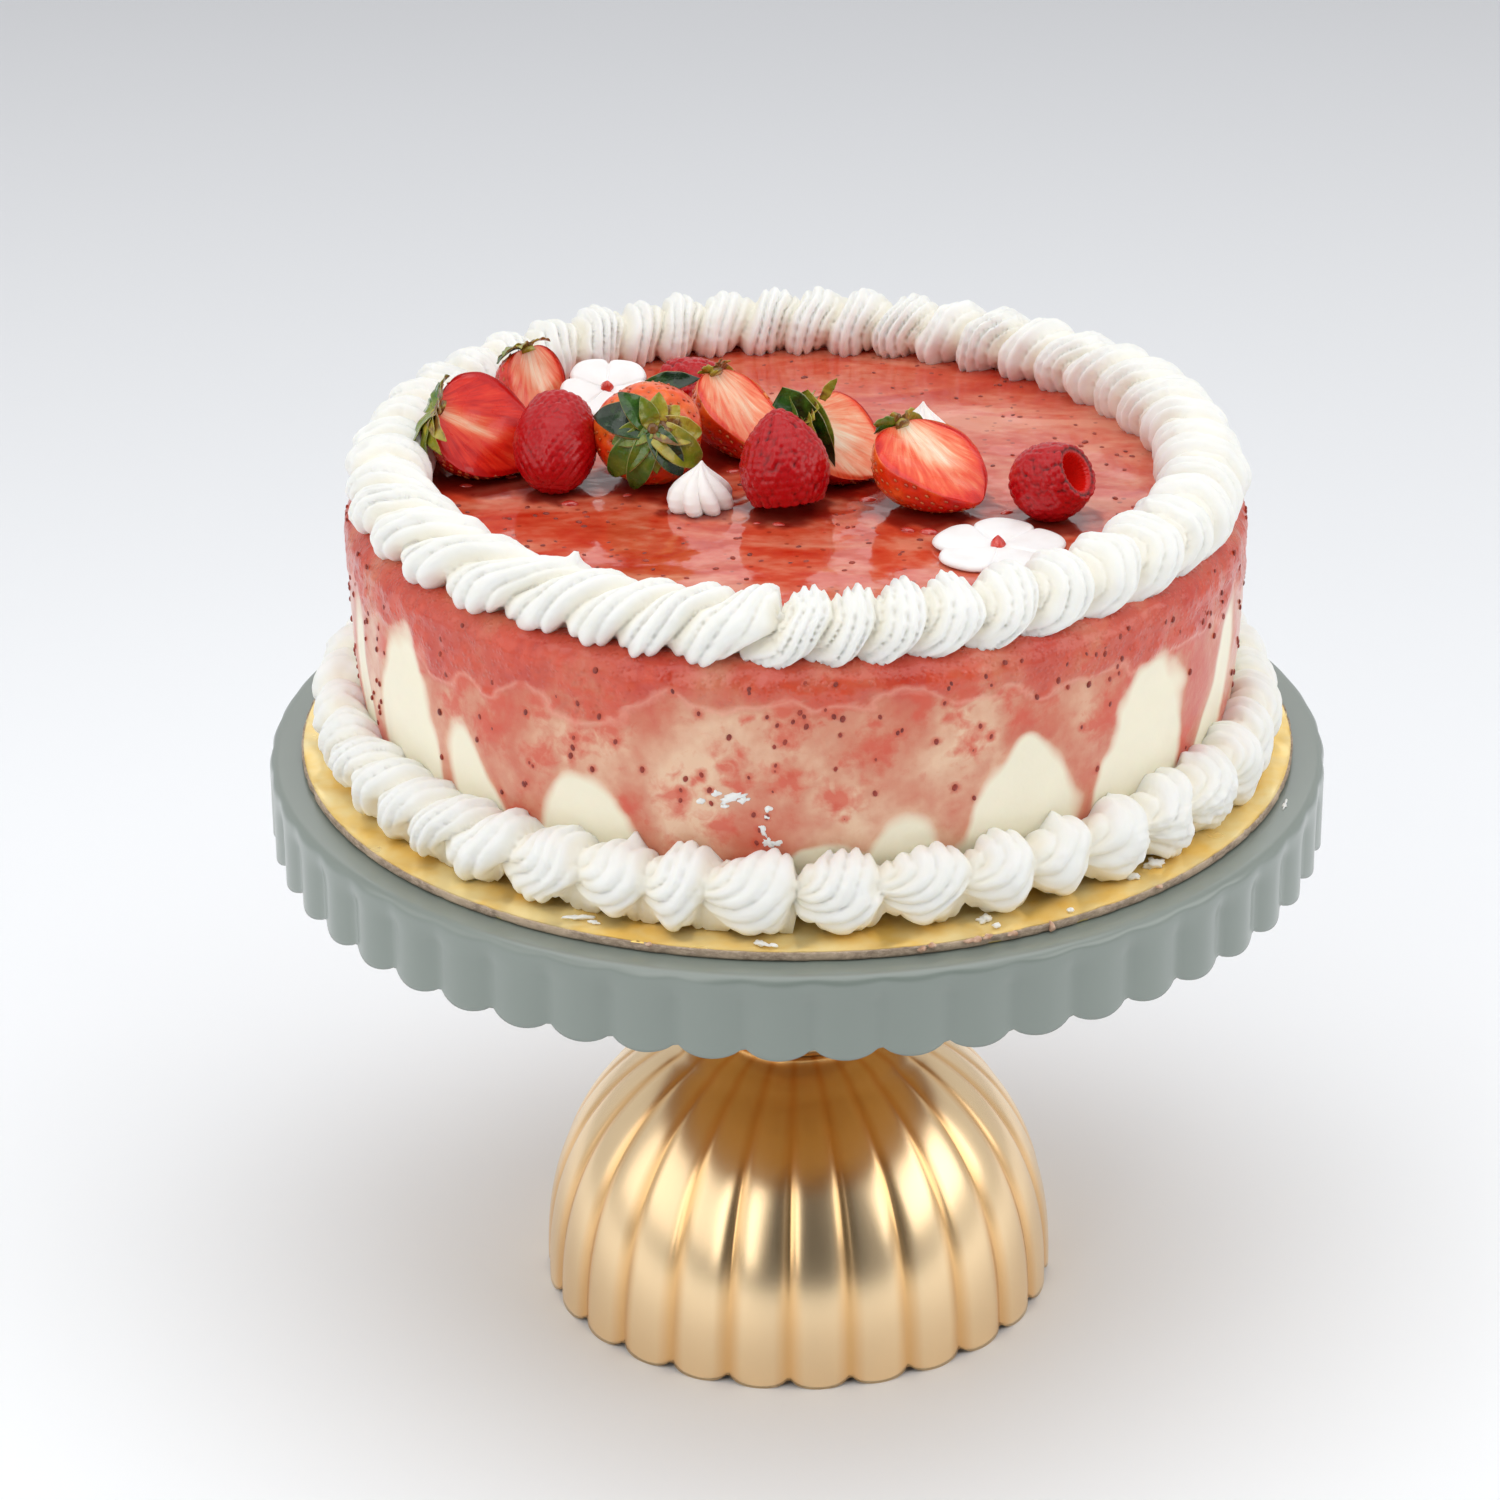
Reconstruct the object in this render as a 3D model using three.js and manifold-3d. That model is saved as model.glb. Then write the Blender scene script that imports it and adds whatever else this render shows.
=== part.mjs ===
// A strawberry cake with piped cream borders and fruit, on its gold board, on a pedestal cake stand
// with a scalloped plate and a fluted foot. Millimetres, +Z up, the front faces -Y, and the origin
// is the middle of the foot on the table.

import * as THREE from 'three';
import { mergeVertices } from 'three/addons/utils/BufferGeometryUtils.js';
import Module from 'manifold-3d';

const wasm = await Module();
wasm.setup();

// Driving dimensions. Everything that rests on something keeps a small gap to it.
const gap = 0.3;

const foot = {
  rimRadius: 81.2, flutes: 26, fluteDepth: 1.9, fluteTurn: 0.344, rimLift: 4, height: 86.5,
  sheet: 2.4, capRadius: 40, heightPower: 2.43, radiusPower: 1.92,
};
const neck = { radius: 26, height: 97.5, sides: 28 };
const plate = {
  lobeRadius: 162.9, scallops: 52, fluteDepth: 2.1, fluteTurn: 0.216, sheet: 2.2,
  lipRadius: 161.9, lipHeight: 2.2, skirt: 26.3, rimLift: 3.7,
};
const board = { radius: 152.5, thickness: 3, sides: 54 };
const cake = { height: 79, footRadius: 130, radius: 135.4, edgeRound: 8, bulgeHeight: 0.62, sides: 50 };
const topBorder = {
  units: 46, innerRadius: 109, outerRadius: 137, height: 19, slant: 0.85, valley: 0.26, fullPitch: 9.6,
};
const bottomBorder = { units: 44, outerRadius: 149.5, height: 26, slant: 0.5, valley: 0.24 };

const footBase = 0;
const neckBase = footBase + foot.height + gap;
const plateTop = neckBase + neck.height + gap + plate.sheet;
const boardBase = plateTop + gap;
const cakeBase = boardBase + board.thickness + gap;
const cakeTop = cakeBase + cake.height;

const samplesPerUnit = 4;

// Colours as seen on the real pieces.
const finishes = {
  sage: { color: '#a3aca4', roughness: 0.42, metalness: 0.1 },
  champagne: { color: '#d9b98a', roughness: 0.28, metalness: 0.85 },
  goldFoil: { color: '#d9a031', roughness: 0.25, metalness: 0.9 },
  glaze: { color: '#d9705f', roughness: 0.25, metalness: 0 },
  cream: { color: '#f7f4ec', roughness: 0.6, metalness: 0 },
  strawberry: { color: '#d83a1c', roughness: 0.3, metalness: 0 },
  redBerry: { color: '#b3161b', roughness: 0.4, metalness: 0 },
  meringue: { color: '#fbf9f5', roughness: 0.75, metalness: 0 },
  sugarPaste: { color: '#f4f1ee', roughness: 0.5, metalness: 0 },
};

// Shared shape helpers

const turn = 2 * Math.PI;
const lerp = THREE.MathUtils.lerp;

// A repeatable wobble between -1 and 1, so that hand-made pieces differ from one another.
function wobble(index, seed) {
  const wave = Math.sin(index * 12.9898 + seed * 78.233) * 437.585;
  return 2 * (wave - Math.floor(wave)) - 1;
}

// One ring of points about the Z axis; place(share, angle) gives [radius, z] or [radius, z, angle].
function ring(count, place, startAngle = 0) {
  return Array.from({ length: count }, (_, index) => {
    const share = index / count;
    const [radius, z, angle = startAngle + share * turn] = place(share, startAngle + share * turn);
    return new THREE.Vector3(radius * Math.cos(angle), radius * Math.sin(angle), z);
  });
}

const pole = (z) => [new THREE.Vector3(0, 0, z)];

// Joins rings, listed from the top outwards and down, into one closed surface. Neighbouring rings
// may differ in count by a whole factor. A looped skin also joins its last ring to its first.
function skin(rings, looped = false) {
  const points = [];
  const push = (a, b, c) => points.push(a, b, c);
  const pairs = looped ? rings.length : rings.length - 1;
  for (let row = 0; row < pairs; row += 1) {
    const upper = rings[row];
    const lower = rings[(row + 1) % rings.length];
    const steps = Math.max(upper.length, lower.length);
    for (let step = 0; step < steps; step += 1) {
      const at = (loop, index) => loop[Math.floor((index * loop.length) / steps) % loop.length];
      const [a, b] = [at(upper, step), at(upper, step + 1)];
      const [c, d] = [at(lower, step), at(lower, step + 1)];
      if (c !== d) push(a, c, d);
      if (a !== b) push(a, d, b);
    }
  }
  const geometry = new THREE.BufferGeometry().setFromPoints(points);
  return mergeVertices(geometry, 1e-4);
}

function toSolid(geometry) {
  const bare = geometry.clone();
  bare.deleteAttribute('normal');
  bare.deleteAttribute('uv');
  const merged = mergeVertices(bare, 1e-4);
  return new wasm.Manifold(new wasm.Mesh({
    numProp: 3,
    vertProperties: new Float32Array(merged.attributes.position.array),
    triVerts: new Uint32Array(merged.index.array),
  }));
}

function fromSolid(solid) {
  const mesh = solid.getMesh();
  const geometry = new THREE.BufferGeometry();
  geometry.setAttribute('position', new THREE.BufferAttribute(mesh.vertProperties, 3));
  geometry.setIndex(new THREE.BufferAttribute(mesh.triVerts, 1));
  return geometry;
}

function piece(name, geometry, finish) {
  geometry.computeVertexNormals();
  const mesh = new THREE.Mesh(geometry, new THREE.MeshStandardMaterial(finishes[finish]));
  mesh.name = name;
  return mesh;
}

// Stand

// Height and inset of a scalloped rim: 0 at the middle of a lobe, 1 at the cusp between two lobes.
const cuspShare = (share, lobes) => Math.abs(((share * lobes) % 1) * 2 - 1);

function footRadiusAt(height) {
  const left = 1 - (height / (foot.height + 4.3)) ** foot.heightPower;
  return foot.rimRadius * left ** (1 / foot.radiusPower);
}

function footGeometry() {
  const around = foot.flutes * samplesPerUnit;
  const turnedBy = foot.fluteTurn * (turn / foot.flutes);
  const fluted = (height, rim) => ring(around, (share) => {
    const cusp = cuspShare(share, foot.flutes);
    const fade = 1 - (height / foot.height) ** 3;
    const flat = Math.max(0, 2 * cusp - 1) ** 2;
    const z = rim ? foot.rimLift * flat : height;
    return [footRadiusAt(z) - foot.fluteDepth * fade * cusp ** 2, z];
  }, turnedBy);
  const inner = (height, rim) => ring(foot.flutes * 2, (share) => {
    const z = rim ? foot.rimLift * (Math.round(share * foot.flutes * 2) % 2 ? 0 : 1) : height;
    return [footRadiusAt(z) - foot.fluteDepth - foot.sheet, z];
  }, turnedBy);
  const capRing = (height, radius, count) => ring(count, () => [radius, height], turnedBy);
  return skin([
    pole(foot.height),
    capRing(foot.height, neck.radius, foot.flutes),
    capRing(foot.height * 0.945, foot.capRadius, foot.flutes * 2),
    fluted(foot.height * 0.79),
    fluted(foot.height * 0.55),
    fluted(foot.height * 0.26),
    fluted(0, true),
    inner(0, true),
    inner(foot.height * 0.3),
    inner(foot.height * 0.62),
    capRing(foot.height * 0.83, footRadiusAt(foot.height * 0.83) - foot.fluteDepth - foot.sheet, foot.flutes),
    pole(foot.height - 2 * foot.sheet),
  ]);
}

function neckGeometry() {
  return skin([
    pole(neckBase + neck.height),
    ring(neck.sides, () => [neck.radius, neckBase + neck.height]),
    ring(neck.sides, () => [neck.radius, neckBase]),
    pole(neckBase),
  ]);
}

function plateGeometry() {
  const turnedBy = plate.fluteTurn * (turn / plate.scallops);
  const fluted = (z, rim) => ring(plate.scallops * samplesPerUnit, (share) => {
    const cusp = cuspShare(share, plate.scallops);
    return [plate.lobeRadius - plate.fluteDepth * cusp ** 2, z + (rim ? plate.rimLift * cusp ** 2 : 0)];
  }, turnedBy);
  const plain = (radius, z) => ring(plate.scallops, () => [radius, z], turnedBy);
  const rimZ = plateTop - plate.skirt;
  const innerRadius = plate.lobeRadius - plate.fluteDepth - plate.sheet;
  return skin([
    pole(plateTop),
    plain(plate.lipRadius - plate.lipHeight, plateTop),
    plain(plate.lipRadius, plateTop - 0.6 * plate.lipHeight),
    fluted(plateTop - 1.6 * plate.lipHeight),
    fluted(rimZ, true),
    plain(innerRadius, rimZ + plate.rimLift),
    plain(innerRadius, plateTop - plate.sheet),
    pole(plateTop - plate.sheet),
  ]);
}

// Board and cake

function boardGeometry() {
  const top = boardBase + board.thickness;
  return skin([
    pole(top),
    ring(board.sides, () => [board.radius, top]),
    ring(board.sides, () => [board.radius, boardBase]),
    pole(boardBase),
  ]);
}

// Radius of the cake's side at a height above its underside, below its rounded top edge.
function cakeRadiusAt(height) {
  const rise = Math.min(1, height / (cake.height * cake.bulgeHeight));
  return lerp(cake.footRadius, cake.radius, Math.sin((rise * Math.PI) / 2));
}

function cakeGeometry() {
  const level = (radius, height) => ring(cake.sides, () => [radius, cakeBase + height]);
  const round = (angle) => level(
    cake.radius - cake.edgeRound * (1 - Math.sin(angle)),
    cake.height - cake.edgeRound * (1 - Math.cos(angle)),
  );
  return skin([
    pole(cakeTop),
    round(0),
    round(Math.PI / 4),
    round(Math.PI / 2),
    level(cakeRadiusAt(cake.height * 0.35), cake.height * 0.35),
    level(cake.footRadius, 0),
    pole(cakeBase),
  ]);
}

// Piped borders

// Angles at which the piped units begin, closing on a full turn. The pitch varies round the ring.
function unitStarts(units, pitchAt, startAngle) {
  const starts = [startAngle];
  for (let unit = 0; unit < units; unit += 1) {
    starts.push(starts[unit] + pitchAt(starts[unit]));
  }
  const stretch = turn / (starts[units] - startAngle);
  return starts.map((angle) => startAngle + (angle - startAngle) * stretch);
}

// A piped ring: its section swells and sinks once per unit, and the section's points lag behind each
// other round the ring, so that the valleys between units run diagonally over it.
function pipedRing(border, starts, section, seed) {
  const around = border.units * samplesPerUnit;
  return skin(section.map(({ radius, z, lag, move }) => Array.from({ length: around }, (_, index) => {
    const unit = Math.floor(index / samplesPerUnit);
    const share = (index % samplesPerUnit) / samplesPerUnit;
    const pitch = starts[unit + 1] - starts[unit];
    const angle = starts[unit] + (share + border.slant * lag) * pitch;
    const swell = Math.sin(Math.PI * share) * (1 + 0.12 * wobble(unit, seed)) - 1;
    const r = radius + move[0] * border.valley * swell;
    return new THREE.Vector3(r * Math.cos(angle), r * Math.sin(angle), z + move[1] * border.valley * swell);
  })), true);
}

function topBorderGeometry() {
  const { innerRadius, outerRadius, height, units, fullPitch } = topBorder;
  const middle = (innerRadius + outerRadius) / 2 - 1.5;
  const half = (outerRadius - innerRadius) / 2;
  const base = cakeTop + gap;
  const edge = cake.radius - cake.edgeRound;
  const average = 360 / units;
  // Wide rope turns at the front left, tighter shells and coils everywhere else.
  const pitchAt = (angle) => {
    const fromFrontLeft = Math.cos(angle + THREE.MathUtils.degToRad(138));
    return lerp(average - 0.6, fullPitch, Math.max(0, fromFrontLeft) ** 3);
  };
  const starts = unitStarts(units, pitchAt, THREE.MathUtils.degToRad(-94));
  return pipedRing(topBorder, starts, [
    { radius: middle, z: base + height, lag: 0.5, move: [0, height] },
    { radius: middle + 0.62 * half, z: base + 0.8 * height, lag: 0.25, move: [0.4 * half, 0.7 * height] },
    { radius: outerRadius, z: base + 0.25 * height, lag: 0.05, move: [0.5 * half, 0] },
    { radius: cake.radius + 0.9, z: base - 4.2, lag: 0, move: [0, -0.1 * height] },
    { radius: edge + 1, z: base + 0.35, lag: 0.2, move: [0, 0] },
    { radius: innerRadius, z: base, lag: 1, move: [-0.5 * half, 0] },
    { radius: innerRadius + 0.2 * half, z: base + 0.62 * height, lag: 0.8, move: [-0.5 * half, 0.5 * height] },
  ], 3);
}

function bottomBorderGeometry() {
  const { outerRadius, height, units } = bottomBorder;
  const base = boardBase + board.thickness + gap;
  const back = (above) => cakeRadiusAt(above) + 2 * gap;
  const width = outerRadius - back(0);
  const pitchAt = (angle) => 360 / units + 0.7 * Math.sin(5 * angle) + 0.5 * Math.cos(9 * angle);
  const starts = unitStarts(units, pitchAt, THREE.MathUtils.degToRad(-91));
  return pipedRing(bottomBorder, starts, [
    { radius: back(height), z: base + 0.96 * height, lag: 1, move: [0, 0.6 * height] },
    { radius: back(0) + 0.6 * width, z: base + 0.93 * height, lag: 0.8, move: [0, 0.7 * height] },
    { radius: outerRadius - 0.8, z: base + 0.6 * height, lag: 0.45, move: [0.5 * width, 0.3 * height] },
    { radius: outerRadius, z: base + 0.2 * height, lag: 0.15, move: [0.5 * width, 0] },
    { radius: outerRadius - 2.5, z: base, lag: 0, move: [0.4 * width, 0] },
    { radius: back(0), z: base, lag: 0.6, move: [0, 0] },
  ], 7);
}

// Fruit and sugar toppings. Each is modelled upright about its own Z axis, stem end up.

// Turns a piece so that its Z axis points along up and its X axis as near as possible to facing,
// then lowers it onto the cake, or onto a height of its own.
function settle(mesh, [x, y], up, facing, restZ = cakeTop + gap) {
  const zAxis = new THREE.Vector3(...up).normalize();
  const yAxis = new THREE.Vector3().crossVectors(zAxis, new THREE.Vector3(...facing)).normalize();
  const xAxis = new THREE.Vector3().crossVectors(yAxis, zAxis);
  mesh.quaternion.setFromRotationMatrix(new THREE.Matrix4().makeBasis(xAxis, yAxis, zAxis));
  mesh.position.set(x, y, 0);
  mesh.updateMatrixWorld(true);
  mesh.position.z = restZ - new THREE.Box3().setFromObject(mesh, true).min.z;
  return mesh;
}

// A strawberry is widest below its shoulder and narrows to a blunt tip; its centre is at mid length.
function strawberryBody({ length, width }) {
  const sides = 12;
  const levels = [0.98, 0.86, 0.64, 0.36, 0.12];
  const radiusAt = (height) => (width / 2) * Math.sin(Math.PI * (0.06 + 0.92 * (1 - height) ** 0.72)) ** 0.7;
  return skin([
    pole(length / 2 - 1),
    ...levels.map((height) => ring(sides, () => [radiusAt(height), (height - 0.5) * length])),
    pole(-length / 2),
  ]);
}

// Calyx: a low star of pointed leaves lying on the shoulder.
function calyxStar({ length, width, leaves = 6 }) {
  const star = (rise, hub, tipDrop) => ring(leaves * 2, (share) => {
    const isTip = Math.round(share * leaves * 2) % 2 === 0;
    const radius = isTip ? 0.4 * width : 0.16 * width;
    return [radius, length / 2 + rise - (isTip ? tipDrop : hub)];
  });
  return skin([pole(length / 2 + 1.6), star(0.6, 0, 2), star(-1.4, 0.6, 1.6), pole(length / 2 - 4)]);
}

function strawberryGeometry(berry) {
  const whole = toSolid(strawberryBody(berry)).add(toSolid(calyxStar(berry)));
  if (berry.whole) return fromSolid(whole);
  // A halved strawberry keeps the part behind its cut face, which looks along +X.
  const reach = 3 * berry.length;
  const behind = new THREE.BoxGeometry(reach, reach, reach).translate(-reach / 2, 0, 0);
  return fromSolid(whole.intersect(toSolid(behind)));
}

// A small red berry built of rows of round drupelets; a picked one is open at its stem end.
function smallBerryGeometry({ length, width, open }) {
  const sides = 12;
  const levels = [0.96, 0.8, 0.6, 0.4, 0.2, 0.06];
  const radiusAt = (height) => (width / 2) * Math.sin(Math.PI * (0.07 + 0.7 * height ** 0.8)) ** 0.7;
  const rows = levels.map((height, row) => ring(sides, (share) => {
    const bump = (Math.round(share * sides) + row) % 2 ? 1 : 0.93;
    return [radiusAt(height) * bump, (height - 0.5) * length];
  }));
  const hollow = (radius, height) => ring(sides, () => [radius * width, (height - 0.5) * length]);
  const top = open
    ? [pole(-0.12 * length), hollow(0.14, 0.45), hollow(0.24, 0.94)]
    : [pole(length / 2)];
  return skin([...top, ...rows, pole(-length / 2)]);
}

// A meringue kiss: a ridged drop drawn up to a point.
function kissGeometry({ width, height, ridges = 7 }) {
  const ridged = (radius, z) => ring(ridges * 2, (share) => {
    const crest = Math.round(share * ridges * 2) % 2 ? 1 : 0.8;
    return [radius * width * crest, z * height];
  });
  return skin([pole(height), ridged(0.2, 0.8), ridged(0.47, 0.42), ridged(0.48, 0.12), ridged(0.42, 0), pole(0)]);
}

// A sugar-paste flower: one thin, slightly cupped sheet cut to round petals.
function flowerGeometry({ radius, thickness, petals = 5, cup = 1.2 }) {
  const outline = (z) => ring(petals * 5, (share) => {
    const across = Math.abs(Math.sin(share * petals * Math.PI));
    return [radius * (0.62 + 0.38 * across ** 0.6), z + cup * across];
  });
  return skin([pole(thickness), outline(thickness), outline(0), pole(0)]);
}

// Places are read in plan from the middle of the cake; directions are where the stem end points and,
// for a halved strawberry, where its cut face looks.
const strawberries = [
  { name: 'strawberry_left', at: [-92, 10], stem: [-0.85, -0.15, 0.48], face: [0.36, -0.6, 0.7], length: 36, width: 35 },
  { name: 'strawberry_back', at: [-79, 47], stem: [-0.3, 0.3, 0.9], face: [0.75, -0.6, 0.25], length: 27, width: 25 },
  { name: 'strawberry_leafy', at: [-45, 8], stem: [0.12, -0.8, 0.42], face: [1, 0, 0], length: 33, width: 32, whole: true },
  { name: 'strawberry_middle', at: [-15, 25], stem: [-0.57, 0.57, 0.59], face: [0.53, -0.29, 0.8], length: 34.5, width: 30 },
  { name: 'strawberry_fan', at: [16, 4], stem: [-0.8, -0.05, 0.58], face: [0.3, -0.5, 0.78], length: 30, width: 31 },
  { name: 'strawberry_right', at: [42.5, -19.5], stem: [-0.6, 0.66, 0.4], face: [0.28, -0.26, 0.92], length: 36.5, width: 35 },
];
const smallBerries = [
  { name: 'berry_left', at: [-72.4, -0.5], stem: [0.1, 0.8, 0.5], length: 28, width: 24.5 },
  { name: 'berry_back', at: [-30, 51.5], stem: [-0.85, 0.4, 0.1], length: 22, width: 21 },
  { name: 'berry_front', at: [-4, -17], stem: [0.1, -0.25, -0.95], length: 26, width: 27 },
  { name: 'berry_open', at: [74.5, -27], stem: [0.74, -0.44, 0.5], length: 21, width: 23, open: true },
];
const kisses = [
  { name: 'meringue_front', at: [-28.6, -17], width: 20.5, height: 15 },
  { name: 'meringue_back', at: [38.5, 28], width: 20, height: 16 },
];
const flowers = [
  { name: 'flower_front', at: [59, -51], radius: 19.5, thickness: 1.6, up: [0, -0.03, 1] },
  { name: 'flower_back', at: [-57, 50], radius: 15.5, thickness: 1.6, up: [0.05, -0.42, 0.91], restZ: cakeTop + 9 },
];

const model = new THREE.Group();
model.add(
  piece('foot', footGeometry(), 'champagne'),
  piece('neck', neckGeometry(), 'champagne'),
  piece('plate', plateGeometry(), 'sage'),
  piece('board', boardGeometry(), 'goldFoil'),
  piece('cake', cakeGeometry(), 'glaze'),
  piece('border_bottom', bottomBorderGeometry(), 'cream'),
  piece('border_top', topBorderGeometry(), 'cream'),
  ...strawberries.map((berry) => settle(
    piece(berry.name, strawberryGeometry(berry), 'strawberry'), berry.at, berry.stem, berry.face)),
  ...smallBerries.map((berry) => settle(
    piece(berry.name, smallBerryGeometry(berry), 'redBerry'), berry.at, berry.stem, [1, 0.2, 0.1])),
  ...kisses.map((kiss) => settle(
    piece(kiss.name, kissGeometry(kiss), 'meringue'), kiss.at, [0, 0, 1], [1, 0, 0])),
  ...flowers.map((flower) => settle(
    piece(flower.name, flowerGeometry(flower), 'sugarPaste'), flower.at, flower.up, [1, 0.3, 0], flower.restZ)),
);

export default model;
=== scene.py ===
# Strawberry cake with piped cream and fruit, on its gold board, on a scalloped cake stand.
# Shapes are worked out here in millimetres and turned into metres as each mesh is made.

import math
import bpy
import numpy as np
from mathutils import Matrix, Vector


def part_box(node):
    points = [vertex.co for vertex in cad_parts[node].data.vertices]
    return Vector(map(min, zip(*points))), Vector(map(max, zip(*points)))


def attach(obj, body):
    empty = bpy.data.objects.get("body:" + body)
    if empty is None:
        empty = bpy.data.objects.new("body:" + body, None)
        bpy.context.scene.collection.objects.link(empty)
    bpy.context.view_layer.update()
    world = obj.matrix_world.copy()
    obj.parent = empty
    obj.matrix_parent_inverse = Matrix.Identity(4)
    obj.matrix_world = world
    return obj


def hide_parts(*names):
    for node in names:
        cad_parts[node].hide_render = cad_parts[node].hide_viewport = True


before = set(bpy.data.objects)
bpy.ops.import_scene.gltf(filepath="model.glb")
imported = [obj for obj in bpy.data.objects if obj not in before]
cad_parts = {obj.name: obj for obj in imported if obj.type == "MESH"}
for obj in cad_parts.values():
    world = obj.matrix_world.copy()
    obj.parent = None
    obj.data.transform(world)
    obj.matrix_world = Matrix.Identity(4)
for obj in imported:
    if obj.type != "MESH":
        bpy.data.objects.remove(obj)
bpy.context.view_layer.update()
mm = 0.001
fullTurn = 2 * math.pi
mmPerDegree = 2.36  # along the cake's side


def heightsOf(node):  # lowest and highest level of a CAD node
    low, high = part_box(node)
    return low.z / mm, high.z / mm


plateRim, plateTop = heightsOf("plate")
boardFoot, boardTop = heightsOf("board")
cakeFoot, cakeTop = heightsOf("cake")
columnFoot, columnTop = heightsOf("neck")
footTop = heightsOf("foot")[1]
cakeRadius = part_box("cake")[1].x / mm
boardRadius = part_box("board")[1].x / mm
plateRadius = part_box("plate")[1].x / mm
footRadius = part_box("foot")[1].x / mm
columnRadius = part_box("neck")[1].x / mm


# mesh helpers

def ringOf(radius, height, angle):
    radius, height, angle = np.broadcast_arrays(radius, height, angle)
    return np.stack([radius * np.cos(angle), radius * np.sin(angle), height], -1)


def gridFaces(rows, columns, flip=False):
    row = np.arange(rows - 1)[:, None]
    column = np.arange(columns)[None, :]
    beside = (column + 1) % columns
    corners = [row * columns + column, row * columns + beside,
               (row + 1) * columns + beside, (row + 1) * columns + column]
    return np.stack(corners[::-1] if flip else corners, -1).reshape(-1, 4)


def capFaces(ring, centre, flip=False):  # fan of triangles from a centre point to a ring
    beside = np.roll(ring, -1)
    middle = np.full_like(ring, centre)
    fan = [middle, beside, ring] if flip else [middle, ring, beside]
    return np.stack(fan, -1)


def meshOf(name, points, *faceLists):
    mesh = bpy.data.meshes.new(name)
    corners = np.concatenate([faces.ravel() for faces in faceLists]).astype(np.int32)
    sizes = np.concatenate([np.full(len(faces), faces.shape[1]) for faces in faceLists])
    starts = np.concatenate([[0], np.cumsum(sizes)[:-1]]).astype(np.int32)
    mesh.vertices.add(len(points))
    mesh.vertices.foreach_set("co", (np.asarray(points) * mm).astype(np.float32).ravel())
    mesh.loops.add(len(corners))
    mesh.loops.foreach_set("vertex_index", corners)
    mesh.polygons.add(len(starts))
    mesh.polygons.foreach_set("loop_start", starts)
    mesh.update(calc_edges=True)
    mesh.validate()
    mesh.shade_smooth()
    return mesh


def addValues(mesh, **values):  # one number a point, for the finish to read, and zero where none is left
    for name, numbers in values.items():
        filled = np.zeros(len(mesh.vertices), np.float32)
        filled[:numbers.size] = numbers.ravel()
        mesh.attributes.new(name, "FLOAT", "POINT").data.foreach_set("value", filled)


def withEnds(rings, first, last):  # rings of points, then the two points on the axis that close them
    return np.concatenate([*rings, [[0, 0, first], [0, 0, last]]])


def closedFaces(rows, around, flip=False):  # faces that join rings up, closed by the two points after them
    ring = np.arange(around)
    first = capFaces(ring, rows * around, not flip)
    last = capFaces(ring + (rows - 1) * around, rows * around + 1, flip)
    return gridFaces(rows, around, flip), np.concatenate([first, last])


def closedMesh(name, points, around, flip=False):
    return meshOf(name, points, *closedFaces(len(points) // around, around, flip))


def addPiece(name, mesh, finishes, slot, *nodes):
    piece = bpy.data.objects.new(name, mesh)
    bpy.context.scene.collection.objects.link(piece)
    for finish in finishes if isinstance(finishes, list) else [finishes]:
        mesh.materials.append(finish)
    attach(piece, "root")
    if nodes:
        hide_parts(*nodes)


def waves(points, length, seed):  # smooth repeatable unevenness, about -1 to 1
    count = 24
    dice = np.random.default_rng(seed)
    total = np.zeros(points.shape[:-1])
    for _ in range(count):
        way = dice.normal(size=points.shape[-1])
        way /= np.linalg.norm(way)
        pace = fullTurn / (length * dice.uniform(0.6, 1.7))
        total += np.sin(points @ way * pace + dice.uniform(0, fullTurn))
    return total / math.sqrt(count)


def ease(low, high, value):
    share = np.clip((value - low) / (high - low), 0, 1)
    return share * share * (3 - 2 * share)


def wrapped(degrees):  # an angle as -180 to 180
    return (degrees + 180) % 360 - 180


def stepsRound(count):  # that many equal steps of a full turn
    return np.arange(count) / count * fullTurn


def unitOf(vector):
    vector = np.asarray(vector, float)
    return vector / np.linalg.norm(vector, axis=-1, keepdims=True)


def blobsOf(middles, alongs, normals, sizes, rings, sides):  # many small pips as one set of points and faces
    bend = np.linspace(0, math.pi, rings + 2)[1:-1]
    local = ringOf(np.sin(bend)[:, None], np.cos(bend)[:, None], stepsRound(sides))[..., [2, 0, 1]]
    local = np.concatenate([local.reshape(-1, 3), [[1, 0, 0], [-1, 0, 0]]])
    acrosses = np.cross(normals, alongs)
    axes = np.stack([alongs, acrosses, normals], 1) * sizes[:, :, None]
    points = middles[:, None, :] + np.einsum("pk,nkc->npc", local, axes)
    quads, caps = closedFaces(rings, sides, flip=True)
    shift = np.arange(len(middles))[:, None, None] * len(local)
    return points.reshape(-1, 3), (quads[None] + shift).reshape(-1, 4), (caps[None] + shift).reshape(-1, 3)


# finish helpers

socketLabels = {
    "coat": "Coat Weight", "coatRoughness": "Coat Roughness", "metal": "Metallic",
    "gloss": "Specular IOR Level", "glow": "Subsurface Weight", "glowScale": "Subsurface Scale",
    "glowReach": "Subsurface Radius",
}


def newFinish(name, colour, roughness, **sockets):
    finish = bpy.data.materials.new(name)
    finish.use_nodes = True
    shader = finish.node_tree.nodes["Principled BSDF"]
    shader.inputs["Base Color"].default_value = (*colour, 1)
    shader.inputs["Roughness"].default_value = roughness
    for socket, value in sockets.items():
        shader.inputs[socketLabels[socket]].default_value = value
    return finish


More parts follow.
